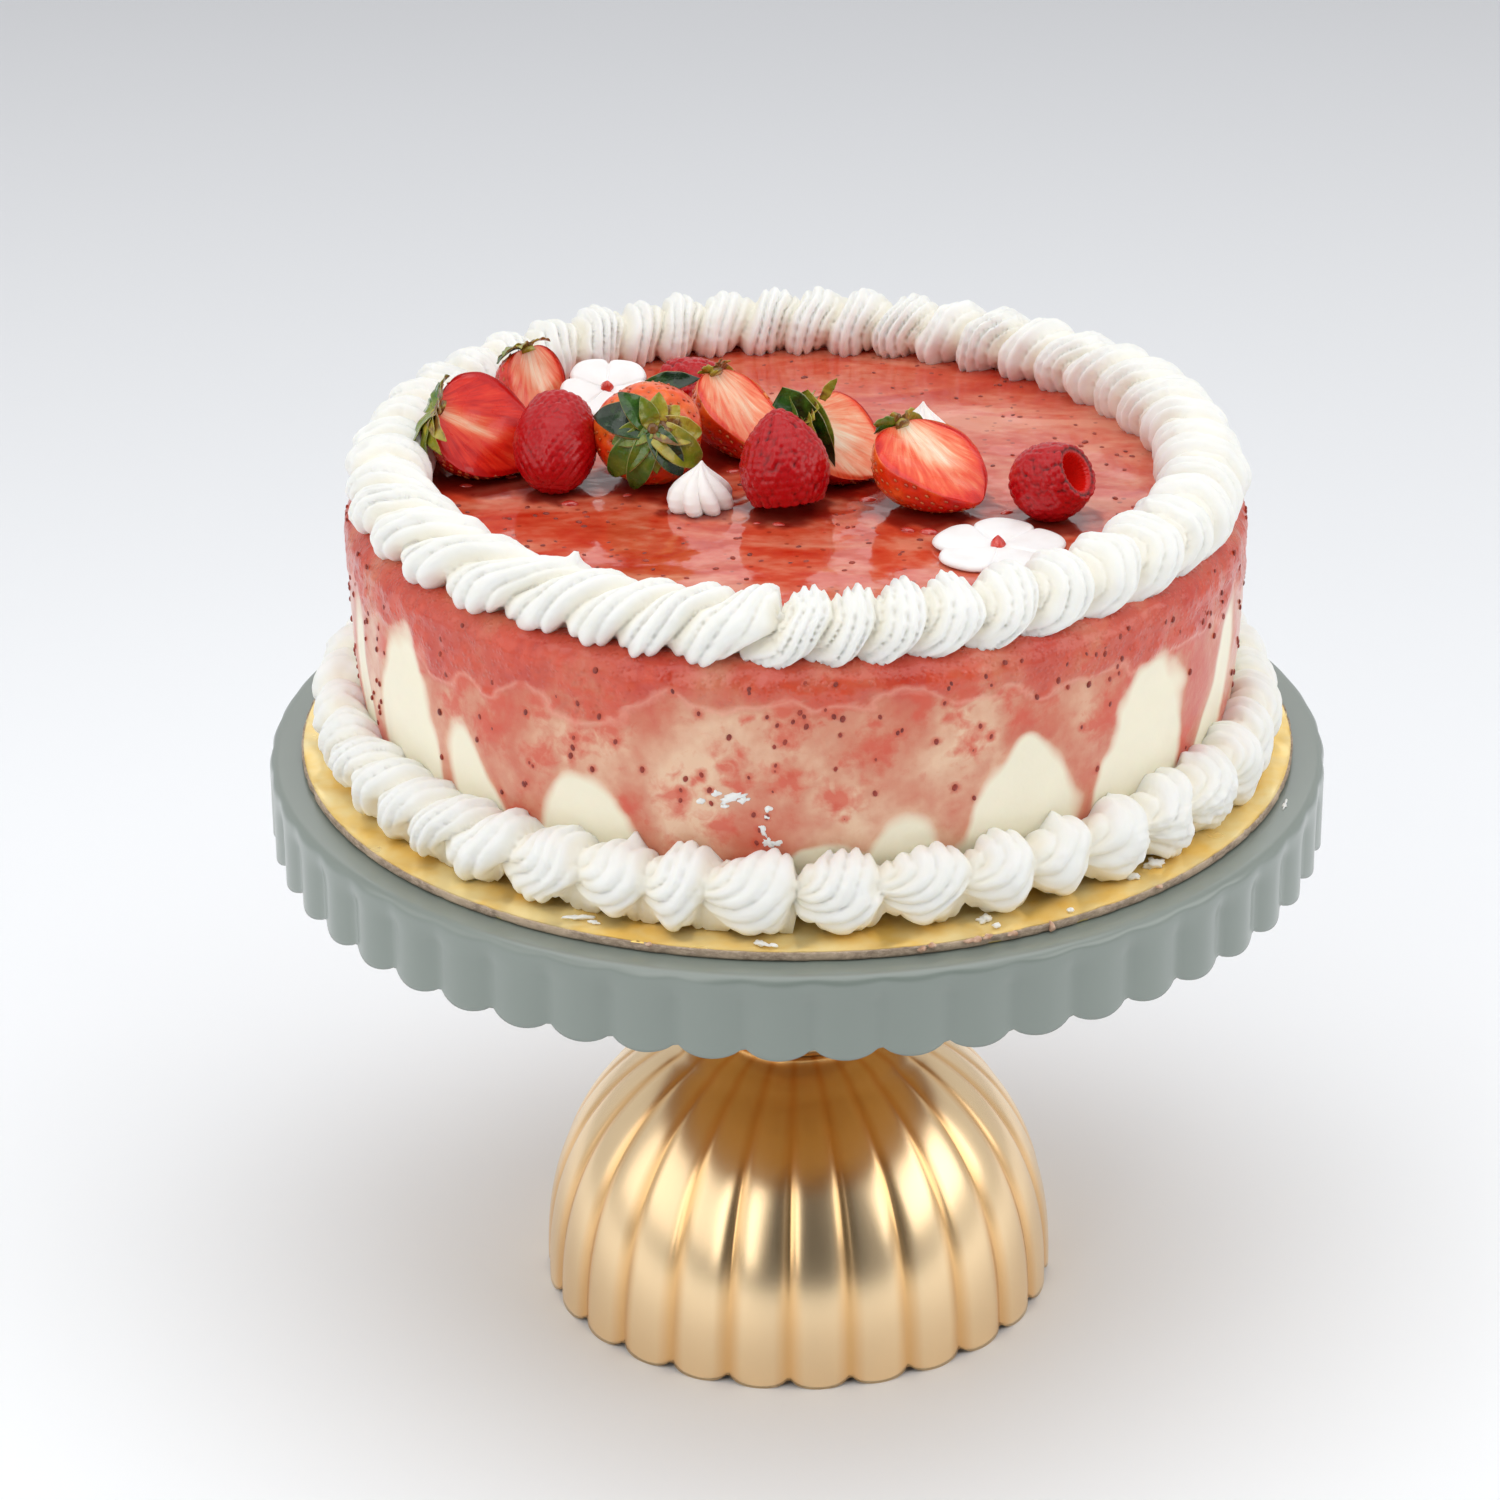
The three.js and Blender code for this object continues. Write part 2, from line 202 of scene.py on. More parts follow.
def addNode(finish, kind, inputs=None, **settings):
    made = finish.node_tree.nodes.new(kind)
    for name, value in settings.items():
        setattr(made, name, value)
    for name, value in (inputs or {}).items():
        if isinstance(value, bpy.types.NodeSocket):
            finish.node_tree.links.new(value, made.inputs[name])
        else:
            made.inputs[name].default_value = value
    return made


def drive(finish, socket, source):  # feeds a shader socket from a pattern
    shader = finish.node_tree.nodes["Principled BSDF"]
    finish.node_tree.links.new(source, shader.inputs[socket])


def grain(finish, size, detail=2.0, stretch=(1, 1, 1), distortion=0.0, rough=0.5):  # size in millimetres
    place = addNode(finish, "ShaderNodeTexCoord").outputs["Object"]
    place = addNode(finish, "ShaderNodeMapping", {"Vector": place, "Scale": stretch}).outputs["Vector"]
    return addNode(finish, "ShaderNodeTexNoise", {
        "Vector": place, "Scale": 1 / (size * mm), "Detail": detail, "Distortion": distortion,
        "Roughness": rough}).outputs["Fac"]


def cells(finish, size):
    place = addNode(finish, "ShaderNodeTexCoord").outputs["Object"]
    made = addNode(finish, "ShaderNodeTexVoronoi", {"Vector": place, "Scale": 1 / (size * mm)})
    return made.outputs["Distance"]


def given(finish, name):
    return addNode(finish, "ShaderNodeAttribute", attribute_name=name).outputs["Fac"]


def rampOf(finish, value, *stops):  # stops are (position, grey or colour)
    ramp = addNode(finish, "ShaderNodeValToRGB", {"Fac": value})
    while len(ramp.color_ramp.elements) < len(stops):
        ramp.color_ramp.elements.new(0.5)
    for element, (position, colour) in zip(ramp.color_ramp.elements, stops):
        element.position = position
        element.color = (*colour, 1) if isinstance(colour, tuple) else (colour, colour, colour, 1)
    return ramp.outputs["Color"]


def blendOf(finish, share, first, second):
    ends = [(*value, 1) if isinstance(value, tuple) else value for value in (first, second)]
    return addNode(finish, "ShaderNodeMix", {0: share, 6: ends[0], 7: ends[1]}, data_type="RGBA").outputs[2]


def sumOf(finish, kind, first, second):
    return addNode(finish, "ShaderNodeMath", {0: first, 1: second}, operation=kind).outputs[0]


def offMiddle(finish, noise, amount):  # a noise of 0 to 1 brought about zero
    return sumOf(finish, "MULTIPLY", sumOf(finish, "SUBTRACT", noise, 0.5), amount)


def stirred(finish, value, noise, amount):  # a value with noise added
    return sumOf(finish, "ADD", value, offMiddle(finish, noise, amount))


def addBump(finish, height, strength, depth):  # depth in millimetres
    bump = addNode(finish, "ShaderNodeBump", {"Height": height, "Strength": strength, "Distance": depth * mm})
    drive(finish, "Normal", bump.outputs["Normal"])


def mottle(finish, value, colours, roughness, at=(0.3, 0.7)):  # colour and roughness both follow one pattern
    drive(finish, "Base Color", rampOf(finish, value, *zip(at, colours)))
    drive(finish, "Roughness", rampOf(finish, value, *zip((0.3, 0.7), roughness)))


def darker(colour, share):
    return tuple(part * share for part in colour)


def shade(*screen):  # a colour as seen on screen, 0 to 255, as the linear one that shaders use
    parts = [part / 255 for part in screen]
    return tuple(((part + 0.055) / 1.055) ** 2.4 if part > 10 / 255 else part / 12.92 for part in parts)


# stand

standLook = {
    "flutes": 26, "pointsPerFlute": 16, "fluteDepth": 1.9, "fluteTurn": 0.344, "rimLift": 4.0, "wall": 1.6,
    "wallShare": 0.935, "innerDrop": 4, "innerTop": 24, "underside": 2.2, "columnSides": 96,
    "heightPower": 2.43, "radiusPower": 1.92, "domeAbove": 4.3,
    "scallops": 52, "pointsPerScallop": 12, "scallopDepth": 2.1, "scallopTurn": 0.216, "scallopLift": 4.2,
    "shoulder": 3.4,
    # groove is a darker gold painted into the flute grooves: painted shade
    "champagne": shade(250, 220, 176), "groove": shade(232, 180, 114), "bronze": shade(178, 136, 72),
    "sage": shade(126, 136, 129),
}


def champagneFinish():
    look = standLook["champagne"]
    finish = newFinish("champagneMetal", look, 0.24, metal=1.0)
    cloud = grain(finish, 30, 3)
    brushed = grain(finish, 6, 3, stretch=(1, 1, 0.12))
    tone = rampOf(finish, cloud, (0.3, darker(look, 0.94)), (0.7, look))
    # the flute grooves are painted a darker, deeper gold: painted shade in the grooves
    groove = rampOf(finish, given(finish, "groove"), (0.5, 0.0), (1.0, 0.85))
    drive(finish, "Base Color", blendOf(finish, groove, tone, standLook["groove"]))
    worn = sumOf(finish, "ADD", cloud, brushed)
    drive(finish, "Roughness", rampOf(finish, worn, (0.2, 0.19), (0.9, 0.268)))
    addBump(finish, brushed, 0.15, 0.05)
    return finish


def bronzeFinish():  # the bare underside of the plate
    look = standLook["bronze"]
    finish = newFinish("bareBronze", look, 0.4, metal=1.0)
    mottle(finish, grain(finish, 24, 3), (darker(look, 0.85), look), (0.34, 0.46))
    addBump(finish, grain(finish, 3, 2), 0.1, 0.05)
    return finish


def sageFinish():
    look = standLook["sage"]
    finish = newFinish("sagePaint", look, 0.34, gloss=0.8, coat=0.4, coatRoughness=0.14)
    mottle(finish, grain(finish, 45, 3), (darker(look, 0.95), look), (0.28, 0.36))
    addBump(finish, grain(finish, 1.6, 2), 0.12, 0.05)
    return finish


def lobeOf(angle, lobes, turned):  # 0 in the middle of a lobe, 1 at the groove between two
    share = (angle / fullTurn * lobes - turned) % 1
    return np.abs(2 * share - 1)


def scallopLift(lobe, lift, roundness):  # how far a scalloped rim rises at each groove
    return lift * (1 - np.sqrt(np.clip(1 - lobe ** 2 * roundness, 0, 1)))


def makeFoot(finish):
    look = standLook
    around = look["flutes"] * look["pointsPerFlute"]
    angle = stepsRound(around)
    lobe = lobeOf(angle, look["flutes"], look["fluteTurn"])
    fluted = 0.3 * (1 - np.cos(lobe * math.pi / 2)) + 0.7 * lobe ** 5
    rise = footTop + look["domeAbove"]

    def outline(height):
        return footRadius * (1 - (height / rise) ** look["heightPower"]) ** (1 / look["radiusPower"])

    def wallAt(height, inset):
        fade = 1 - (height / footTop) ** 3
        return outline(height) - look["fluteDepth"] * fade * fluted - inset

    rimHeight = scallopLift(lobe, look["rimLift"], 0.98)
    wallTop = footTop * look["wallShare"]
    # the crown inside the flutes: radius, share of the height
    dome = [(columnRadius - 1, 1.0), (27.5, 0.995), (31.5, 0.982), (36.5, 0.96)]
    rings = [ringOf(radius, footTop * level, angle) for radius, level in dome]
    for share in np.linspace(0, 1, 44)[::-1]:
        height = rimHeight + (wallTop - rimHeight) * share
        rings.append(ringOf(wallAt(height, 0), height, angle))
    for share in np.linspace(0, 1, 16):
        height = rimHeight + (wallTop - look["innerDrop"] - rimHeight) * share
        rings.append(ringOf(wallAt(height, look["wall"]), height, angle))
    under = footTop - 2 * look["wall"]
    rings.append(ringOf(look["innerTop"], under, angle))
    mesh = closedMesh("foot", withEnds(rings, footTop, under), around, flip=True)
    addValues(mesh, groove=np.tile(lobe, len(rings)))
    addPiece("stand_foot", mesh, finish, "champagne_metal", "foot")


def makeColumn(finish):  # a drum with a collar at each end
    sides = standLook["columnSides"]
    radius = columnRadius
    waist = radius - 1.2
    outline = [(radius - 1, columnTop), (radius, columnTop - 1), (radius, columnTop - 4),
               (waist, columnTop - 6), (waist, columnFoot + 6), (radius, columnFoot + 4),
               (radius, columnFoot + 1.2), (radius - 1, columnFoot)]
    rings = [ringOf(*place, stepsRound(sides)) for place in outline]
    mesh = closedMesh("column", withEnds(rings, columnTop, columnFoot), sides, flip=True)
    addPiece("stand_column", mesh, finish, "champagne_metal", "neck")


def makePlate(finish, underFinish):
    look = standLook
    around = look["scallops"] * look["pointsPerScallop"]
    angle = stepsRound(around)
    lobe = lobeOf(angle, look["scallops"], look["scallopTurn"])
    groove = look["scallopDepth"] * (1 - np.cos(lobe * math.pi / 2))
    rimHeight = plateRim + scallopLift(lobe, look["scallopLift"], 0.985)
    wall, shoulder = look["wall"], look["shoulder"]
    outer = plateRadius - 0.4
    rings = [ringOf(r, plateTop, angle) for r in (20, 70, 120, 145, outer - shoulder - 3, outer - shoulder)]
    for bend in np.linspace(0.15, 1, 7) * math.pi / 2:  # rounded shoulder, which the flutes grow out of
        inset = groove * ease(0.5, 1.6, bend)
        rings.append(ringOf(outer - shoulder * (1 - math.sin(bend)) - inset * 0.35,
                            plateTop - shoulder * (1 - math.cos(bend)), angle))
    skirtTop = plateTop - shoulder
    for share in np.linspace(0.04, 1, 20) ** 1.2:
        height = skirtTop + (rimHeight - skirtTop) * share
        depth = groove * (0.35 + 0.65 * ease(0, 0.3, share))
        rings.append(ringOf(outer - depth, height, angle))
    rings.append(ringOf(outer - groove - 0.5 * wall, rimHeight - 0.25, angle))
    painted = len(rings) - 1
    for share in np.linspace(0, 1, 8):
        height = rimHeight + (skirtTop - 1 - rimHeight) * share
        rings.append(ringOf(outer - groove - wall, height, angle))
    under = plateTop - look["underside"]
    rings += [ringOf(r, under, angle) for r in (outer - 5, 120, 40)]
    mesh = closedMesh("plate", withEnds(rings, plateTop, under), around, flip=True)
    bare = np.repeat(np.arange(len(rings) - 1) >= painted, around)
    bare = np.concatenate([bare, np.zeros(around), np.ones(around)])
    addPiece("stand_plate", mesh, [finish, underFinish], "sage_paint", "plate")
    mesh.polygons.foreach_set("material_index", bare.astype(np.int32))


champagne = champagneFinish()
makeFoot(champagne)
makeColumn(champagne)
makePlate(sageFinish(), bronzeFinish())
print("stand made")


# gold board

boardLook = {
    "foil": shade(255, 234, 174), "foilDeep": shade(255, 214, 118), "card": shade(168, 148, 128),
    "emboss": 0.35, "embossCount": 60, "ragged": 0.3, "around": 500, "sunk": 0.45,
}


def foilFinish():
    look = boardLook
    finish = newFinish("goldFoil", look["foil"], 0.2, metal=0.5)
    cloud = grain(finish, 14, 3)
    crease = grain(finish, 22, 2, stretch=(1, 1.6, 1))
    drive(finish, "Base Color", rampOf(finish, cloud, (0.35, look["foilDeep"]), (0.65, look["foil"])))
    drive(finish, "Roughness", rampOf(finish, crease, (0.3, 0.14), (0.75, 0.3)))
    addBump(finish, sumOf(finish, "ADD", crease, cloud), 0.25, 0.6)
    return finish


def cardFinish():
    look = boardLook
    finish = newFinish("cardEdge", look["card"], 0.85)
    fibres = grain(finish, 2.2, 5, stretch=(1, 1, 2.2), rough=0.7)
    patches = rampOf(finish, grain(finish, 14, 2), (0.52, 0.0), (0.7, 0.75))
    tone = rampOf(finish, fibres, (0.3, shade(132, 114, 98)), (0.5, look["card"]),
                  (0.72, shade(204, 184, 164)))
    drive(finish, "Base Color", blendOf(finish, patches, tone, shade(206, 184, 158)))
    addBump(finish, fibres, 0.8, 0.4)
    return finish


def makeBoard():
    look = boardLook
    around = look["around"]
    angle = stepsRound(around)
    middleLevel = boardTop - look["sunk"]
    radii = np.concatenate([[60, 100, 125], np.linspace(130, boardRadius - 0.7, 24)])
    rings = []
    for radius in radii:
        beat = np.sin(angle * look["embossCount"] + 0.22 * radius)
        arcs = np.sin(angle * look["embossCount"] / 2 + 0.45 * (radius - 140))
        lift = look["emboss"] * (0.5 * beat + arcs) * ease(128, 134, radius)
        lift = lift * (1 - ease(150.4, 151.5, radius))
        rings.append(ringOf(radius, middleLevel + 0.5 * lift, angle))
    edge = [(0.25, boardTop - 0.2), (0.05, boardTop - 0.7), (0.1, boardTop - 1.6), (0.05, boardFoot + 0.7),
            (0.5, boardFoot)]
    for inset, height in edge:
        radius = boardRadius - inset
        base = ringOf(radius, height, angle)
        rag = look["ragged"] * waves(base, 5, 11) * (1 if height > boardFoot + 0.1 else 0.6)
        rings.append(ringOf(np.minimum(radius + np.minimum(rag, 0), boardRadius), height, angle))
    mesh = closedMesh("board", withEnds(rings, middleLevel, boardFoot), around, flip=True)
    addPiece("gold_board", mesh, [foilFinish(), cardFinish()], "gold_foil", "board")
    middle = np.empty(len(mesh.polygons) * 3, np.float32)
    mesh.polygons.foreach_get("center", middle)
    middle = middle.reshape(-1, 3) / mm
    isEdge = (np.hypot(middle[:, 0], middle[:, 1]) > boardRadius - 0.6) | (middle[:, 2] < boardFoot + 0.3)
    mesh.polygons.foreach_set("material_index", isEdge.astype(np.int32))


makeBoard()
print("board made")


# cake: ivory frosting under a runny strawberry glaze

cakeLook = {
    "footRadius": 130.0, "edgeRound": 8.0, "bulgeHeight": 0.62, "columns": 780, "glazeThickness": 0.7,
    "ivory": shade(246, 238, 214),
    # where the glaze is thin: degrees about the cake, height, reach in mm
    "thinSpots": [(-113, 50, 15), (-104, 40, 10), (-74, 47, 8)],
    # where the dark upper band reaches lower or higher: middle and reach in degrees, rise in mm
    "bandLifts": [(-80, 26, 8), (-128, 14, -3)],
    # gaps in the glaze where the frosting shows: middle and half width in degrees, top in mm, lean in degrees
    "gaps": [(-164, 3.2, 52, 0), (-148, 7.0, 60, 0), (-131.8, 4.0, 40.5, -4), (-116.5, 6.8, 36.5, 0),
             (-86, 8.5, 21.5, 0), (-77, 4.6, 29, 0), (-62, 8.5, 47.5, 2.2), (-42, 8.3, 57.5, 1.8),
             (-27.5, 3.6, 53, 8)],
    "hiddenGaps": 13, "seeds": 460, "topSeeds": 300, "pulps": 260,
    # faint curved ridges left by the palette knife: degrees about the cake, height, radius in mm
    "lips": [(-93.5, 54, 16), (-101, 60, 8), (-70, 62, 9), (-120, 63, 10)],
}


def cakeRadiusAt(height):
    look = cakeLook
    rise = np.minimum(1, np.maximum(height, 0) / ((cakeTop - cakeFoot) * look["bulgeHeight"]))
    return look["footRadius"] + (cakeRadius - look["footRadius"]) * np.sin(rise * math.pi / 2)


def glazeGaps():
    look = cakeLook
    dice = np.random.default_rng(5)
    hidden = []
    start, stop = -12, 188
    for index in range(look["hiddenGaps"]):
        middle = start + (stop - start) * (index + 0.5 + dice.uniform(-0.22, 0.22)) / look["hiddenGaps"]
        hidden.append((middle, dice.uniform(3.5, 7), dice.uniform(28, 60), dice.uniform(-3, 3)))
    return look["gaps"] + hidden


def glazeAt(angle, height):  # 0 on bare frosting, 1 on full glaze
    around = ringOf(cakeRadius, height, angle)
    wander = waves(around, 19, 31) * 0.07 + waves(around, 8, 32) * 0.015
    cover = np.ones(np.broadcast(angle, height).shape)
    for middle, half, top, lean in glazeGaps():
        share = np.clip(height / top, 0, 3)
        off = wrapped(np.degrees(angle) - middle - lean * share)
        inside = np.sqrt((off / half) ** 2 + share ** 2.6)
        soft = 1.1 / half + 0.04
        cover = np.minimum(cover, ease(1 - 0.35 * soft, 1 + 1.1 * soft, inside + wander))
    return cover


def scatterOnSide(count, seed, clumping):  # angles and heights, thicker where the fruit pulp gathers
    dice = np.random.default_rng(seed)
    angle = dice.uniform(0, fullTurn, count * 8)
    height = dice.uniform(1, cakeTop - cakeFoot - 3, count * 8)
    place = ringOf(cakeRadius, height, angle)
    wanted = 0.45 + clumping * waves(place, 21, 48) + 0.35 * ease(42, 70, height)
    keep = (dice.uniform(0, 1, len(angle)) < wanted) & (glazeAt(angle, height) > 0.85)
    return angle[keep][:count], height[keep][:count]


def onSide(spots):  # places on the cake's side from angles and heights
    angle, height = spots
    return ringOf(cakeRadiusAt(height), height, angle)


def nearness(points, middles, reaches):  # highest soft spot value at each point
    flat = points.reshape(-1, 3).astype(np.float32)
    best = np.zeros(len(flat), np.float32)
    turned = np.arctan2(flat[:, 1], flat[:, 0])
    for middle, reach in zip(middles.astype(np.float32), reaches):
        toward = np.arctan2(middle[1], middle[0])
        close = np.abs((turned - toward + math.pi) % fullTurn - math.pi) * cakeRadius < 3 * reach
        apart = np.linalg.norm(flat[close] - middle, axis=1) / reach
        best[close] = np.maximum(best[close], np.exp(-apart ** 2.0))
    return best.reshape(points.shape[:-1])


def makeCakeSide(finish, seedSpots, pulpSpots):
    look = cakeLook
    around = look["columns"]
    tall = cakeTop - cakeFoot
    edge = look["edgeRound"]
    profile = [(cakeRadiusAt(height), height) for height in np.linspace(0, tall - edge, 80)]
    for bend in np.linspace(0.08, 1, 11) * math.pi / 2:
        profile.append((cakeRadius - edge * (1 - math.cos(bend)), tall - edge * (1 - math.sin(bend))))
    profile += [(124, tall), (118, tall - 0.02), (117.6, tall - 0.5)]
    profile = np.array(profile)
    radius, height = profile[:, 0:1], profile[:, 1:2]
    angles = stepsRound(around)[None, :]
    degrees = np.degrees(angles)
    base = ringOf(radius, height, angles)
    cover = glazeAt(angles + 0 * height, height + 0 * angles)
    streak = waves(base * [1, 1, 0.45], 24, 41)
    lumps = waves(base, 9, 42) * 0.6 + waves(base, 4.2, 43) * 0.4
    lip = height + 3.2 * waves(base, 26, 44) + 1.4 * waves(base, 9, 47)
    for middle, reach, rise in look["bandLifts"]:
        lip = lip - rise * np.exp(-(wrapped(degrees - middle) / reach) ** 2)
    upper = ease(57, 65, lip)
    halo = nearness(base, onSide(seedSpots), np.random.default_rng(3).uniform(1.0, 2.1, len(seedSpots[0])))
    bent = base + 1.6 * np.stack([waves(base, 7, 60 + axis) for axis in range(3)], -1)
    pulp = nearness(bent, onSide(pulpSpots), np.random.default_rng(4).uniform(1.8, 6.5, len(pulpSpots[0])))
    depth = np.clip(0.36 + 0.15 * streak + 0.32 * upper + 0.06 * lumps, 0.1, 1.0)
    for middle, level, reach in look["thinSpots"]:
        off = np.hypot(wrapped(degrees - middle) * mmPerDegree, (height - level) * 0.8)
        depth = depth - 0.2 * np.exp(-(off / reach) ** 2)
    thick = cover * depth
    bubbly = upper * cover
    relief = look["glazeThickness"] * (0.5 * cover + 0.35 * thick) + 0.14 * waves(base, 46, 45)
    relief = relief + bubbly * (0.30 + 0.30 * waves(base, 7, 49) + 0.13 * waves(base, 3.2, 50))
    relief = relief + 0.08 * waves(base, 17, 46) + 0.22 * pulp * cover + 0.12 * halo * cover - 0.35
    for middle, level, reach in look["lips"]:
        aside = wrapped(degrees - middle)
        off = np.hypot(aside * mmPerDegree, height - level)
        relief = relief + 0.35 * np.exp(-((off - reach) / 0.7) ** 2) * ease(0, 4, aside)
    fade = ease(tall + 0.1, tall - 2, height)
    points = ringOf(radius + relief * fade, cakeFoot + height, angles).reshape(-1, 3)
    points[:, 2] = np.minimum(points[:, 2], cakeTop - 0.02)
    mesh = closedMesh("cakeSide", withEnds([points], cakeFoot, cakeTop - 0.5), around)
    addValues(mesh, cover=cover, thick=thick, upper=bubbly, halo=halo * cover, pulp=pulp * cover)
    addPiece("cake_side", mesh, finish, "glaze", "cake")


def sideFinish():
    look = cakeLook
    finish = newFinish("runnyGlaze", look["ivory"], 0.3, coat=0.3, coatRoughness=0.12, glow=0.1,
                       glowScale=0.003)
    read = {key: given(finish, key) for key in ("thick", "cover", "upper", "halo", "pulp")}
    cloud = grain(finish, 15, 3, distortion=0.4)
    fine = grain(finish, 2.6, 4, rough=0.6)
    varied = stirred(finish, stirred(finish, read["thick"], cloud, 0.45), fine, 0.16)
    glaze = rampOf(finish, varied, (0.05, shade(230, 190, 158)), (0.28, shade(214, 148, 118)),
                   (0.46, shade(206, 112, 83)), (0.64, shade(202, 80, 55)), (0.92, shade(190, 50, 30)))
    torn = grain(finish, 5.5, 4, distortion=1.5)
    pulpShare = stirred(finish, sumOf(finish, "MULTIPLY", read["pulp"], 1.1), torn, 1.5)
    pulpShare = stirred(finish, pulpShare, fine, 0.8)
    glaze = blendOf(finish, rampOf(finish, pulpShare, (0.2, 0.0), (1.1, 0.8)), glaze, shade(210, 74, 44))
    # a pale line painted along the lower edge of the dark upper band: a painted highlight
    brimHighlight = rampOf(finish, stirred(finish, read["upper"], torn, 0.5), (0.2, 0.0), (0.5, 0.45), (0.8, 0.0))
    glaze = blendOf(finish, brimHighlight, glaze, shade(236, 168, 146))
    haloShare = rampOf(finish, stirred(finish, read["halo"], fine, 0.9), (0.25, 0.0), (0.8, 0.75))
    glaze = blendOf(finish, haloShare, glaze, shade(206, 74, 42))
    ivory = rampOf(finish, cloud, (0.3, darker(look["ivory"], 0.96)), (0.7, look["ivory"]))
    edgeShare = rampOf(finish, read["cover"], (0.1, 0.0), (0.8, 1.0))
    drive(finish, "Base Color", blendOf(finish, edgeShare, ivory, glaze))
    drive(finish, "Roughness", rampOf(finish, read["cover"], (0.1, 0.5), (0.8, 0.28)))
    bubbles = rampOf(finish, cells(finish, 1.9), (0.0, 1.0), (0.5, 0.0))
    bubbles = sumOf(finish, "MULTIPLY", bubbles, read["upper"])
    addBump(finish, sumOf(finish, "ADD", bubbles, sumOf(finish, "MULTIPLY", fine, 0.5)), 0.6, 0.55)
    return finish


def darkSeedFinish():
    finish = newFinish("glazeSeed", shade(140, 44, 26), 0.5, coat=0.1, coatRoughness=0.2)
    cloud = grain(finish, 5, 2)
    mottle(finish, cloud, (shade(116, 30, 18), shade(160, 52, 30)), (0.28, 0.45), at=(0.35, 0.65))
    addBump(finish, grain(finish, 0.4, 2), 0.2, 0.1)
    return finish


def makeGlazeSeeds(seedSpots, finish):  # strawberry seeds caught in the glaze, on the side and on the top
    dice = np.random.default_rng(57)
    angle, height = seedSpots
    outward = ringOf(1.0, 0.0, angle)
    middles = ringOf(cakeRadiusAt(height) + 0.2, cakeFoot + height, angle)
    along = unitOf(ringOf(0.35, 1.0, angle + dice.uniform(1, 5, len(angle))))
    along = unitOf(along - outward * (along * outward).sum(1, keepdims=True))
    count = cakeLook["topSeeds"]
    flatAngle = dice.uniform(0, fullTurn, count)
    flatRadius = 110 * np.sqrt(dice.uniform(0, 1, count))
    topMiddles = ringOf(flatRadius, cakeTop - 0.12, flatAngle)
    clear = np.ones(count, bool)
    for x, y, half in toppingSpots():
        clear &= np.hypot(topMiddles[:, 0] - x, topMiddles[:, 1] - y) > half + 1
    topMiddles = topMiddles[clear]
    topAlong = ringOf(1.0, 0.0, dice.uniform(0, fullTurn, len(topMiddles)))
    middles = np.concatenate([middles, topMiddles])
    along = np.concatenate([along, topAlong])
    normal = np.concatenate([outward, np.tile([0.0, 0.0, 1.0], (len(topMiddles), 1))])
    sizes = np.array([0.92, 0.68, 0.48]) * dice.uniform(0.75, 1.2, (len(middles), 1))
    points, quads, caps = blobsOf(middles, along, normal, sizes, 4, 8)
    addPiece("glaze_seeds", meshOf("glazeSeeds", points, quads, caps), finish, "strawberry")


def toppingSpots():  # middle in plan and half width of each topping
    spots = []
    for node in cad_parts:
        if node.startswith(("strawberry", "berry_", "meringue")):
            low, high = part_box(node)
            spots.append(((low.x + high.x) / 2 / mm, (low.y + high.y) / 2 / mm, (high.x - low.x) / 2 / mm))
    return spots


def makeCakeTop(finish):
    around = 360
    edge, under = 118.0, cakeTop - 0.6
    angle = stepsRound(around)
    radii = np.linspace(edge, 2, 68)
    base = ringOf(radii[:, None], 0.0, angle[None, :])
    plan = base[..., :2]
    swirl = waves(plan * [1, 1.6], 34, 51) + 0.5 * waves(plan, 15, 52)
    # how near each point lies to a topping's foot: it lifts the glaze into a pool there, and the finish
    # paints shade there
    pool = np.zeros(plan.shape[:-1])
    for x, y, half in toppingSpots():
        gap = np.hypot(plan[..., 0] - x, plan[..., 1] - y) - half
        pool = np.maximum(pool, 1 - ease(-1, 7, gap + 2 * waves(plan, 9, 53)))
    lift = 0.10 * swirl + 0.025 * waves(plan, 7, 54) + 0.5 * pool
    lift = lift * ease(edge, 110, radii[:, None]) - 0.05
    base[..., 2] = cakeTop + lift
    points = np.concatenate([base.reshape(-1, 3), [[0, 0, cakeTop + lift[-1].mean()]],
                             ringOf(edge, under, angle), [[0, 0, under]]])
    rows = len(radii)
    ring = np.arange(around)
    below = rows * around + 1
    rim = np.stack([ring, below + ring, below + np.roll(ring, -1), np.roll(ring, -1)], -1)
    middle = capFaces(ring + (rows - 1) * around, rows * around)
    underside = capFaces(below + ring, below + around, flip=True)
    mesh = meshOf("cakeTop", points, gridFaces(rows, around), middle, rim, underside)
    addValues(mesh, pool=pool)
    addPiece("cake_top_glaze", mesh, finish, "glaze")


def topFinish():
    finish = newFinish("topGlaze", shade(205, 96, 74), 0.08, coat=0.3, coatRoughness=0.03, glow=0.1,
                       glowScale=0.004)
    # the glaze is painted much darker round the feet of the fruit: partly pooled jelly, partly painted shade
    # under the toppings
    pool = rampOf(finish, given(finish, "pool"), (0.35, 0.0), (1.0, 0.85))
    broad = grain(finish, 42, 3, stretch=(1, 1.7, 1), distortion=1.2)
    fine = grain(finish, 5, 4, stretch=(1, 1.5, 1))
    body = rampOf(finish, stirred(finish, broad, fine, 0.3), (0.30, shade(190, 42, 18)),
                  (0.47, shade(206, 78, 50)), (0.66, shade(220, 130, 102)))
    specks = rampOf(finish, cells(finish, 5.5), (0.10, 1.0), (0.17, 0.0))
    body = blendOf(finish, sumOf(finish, "MULTIPLY", specks, 0.55), body, shade(120, 38, 26))
    drive(finish, "Base Color", blendOf(finish, pool, body, shade(120, 18, 12)))
    drive(finish, "Roughness", rampOf(finish, broad, (0.3, 0.05), (0.7, 0.13)))
    ripple = sumOf(finish, "MULTIPLY", grain(finish, 12, 2), 1.7)
    addBump(finish, sumOf(finish, "ADD", fine, ripple), 0.24, 0.27)
    return finish


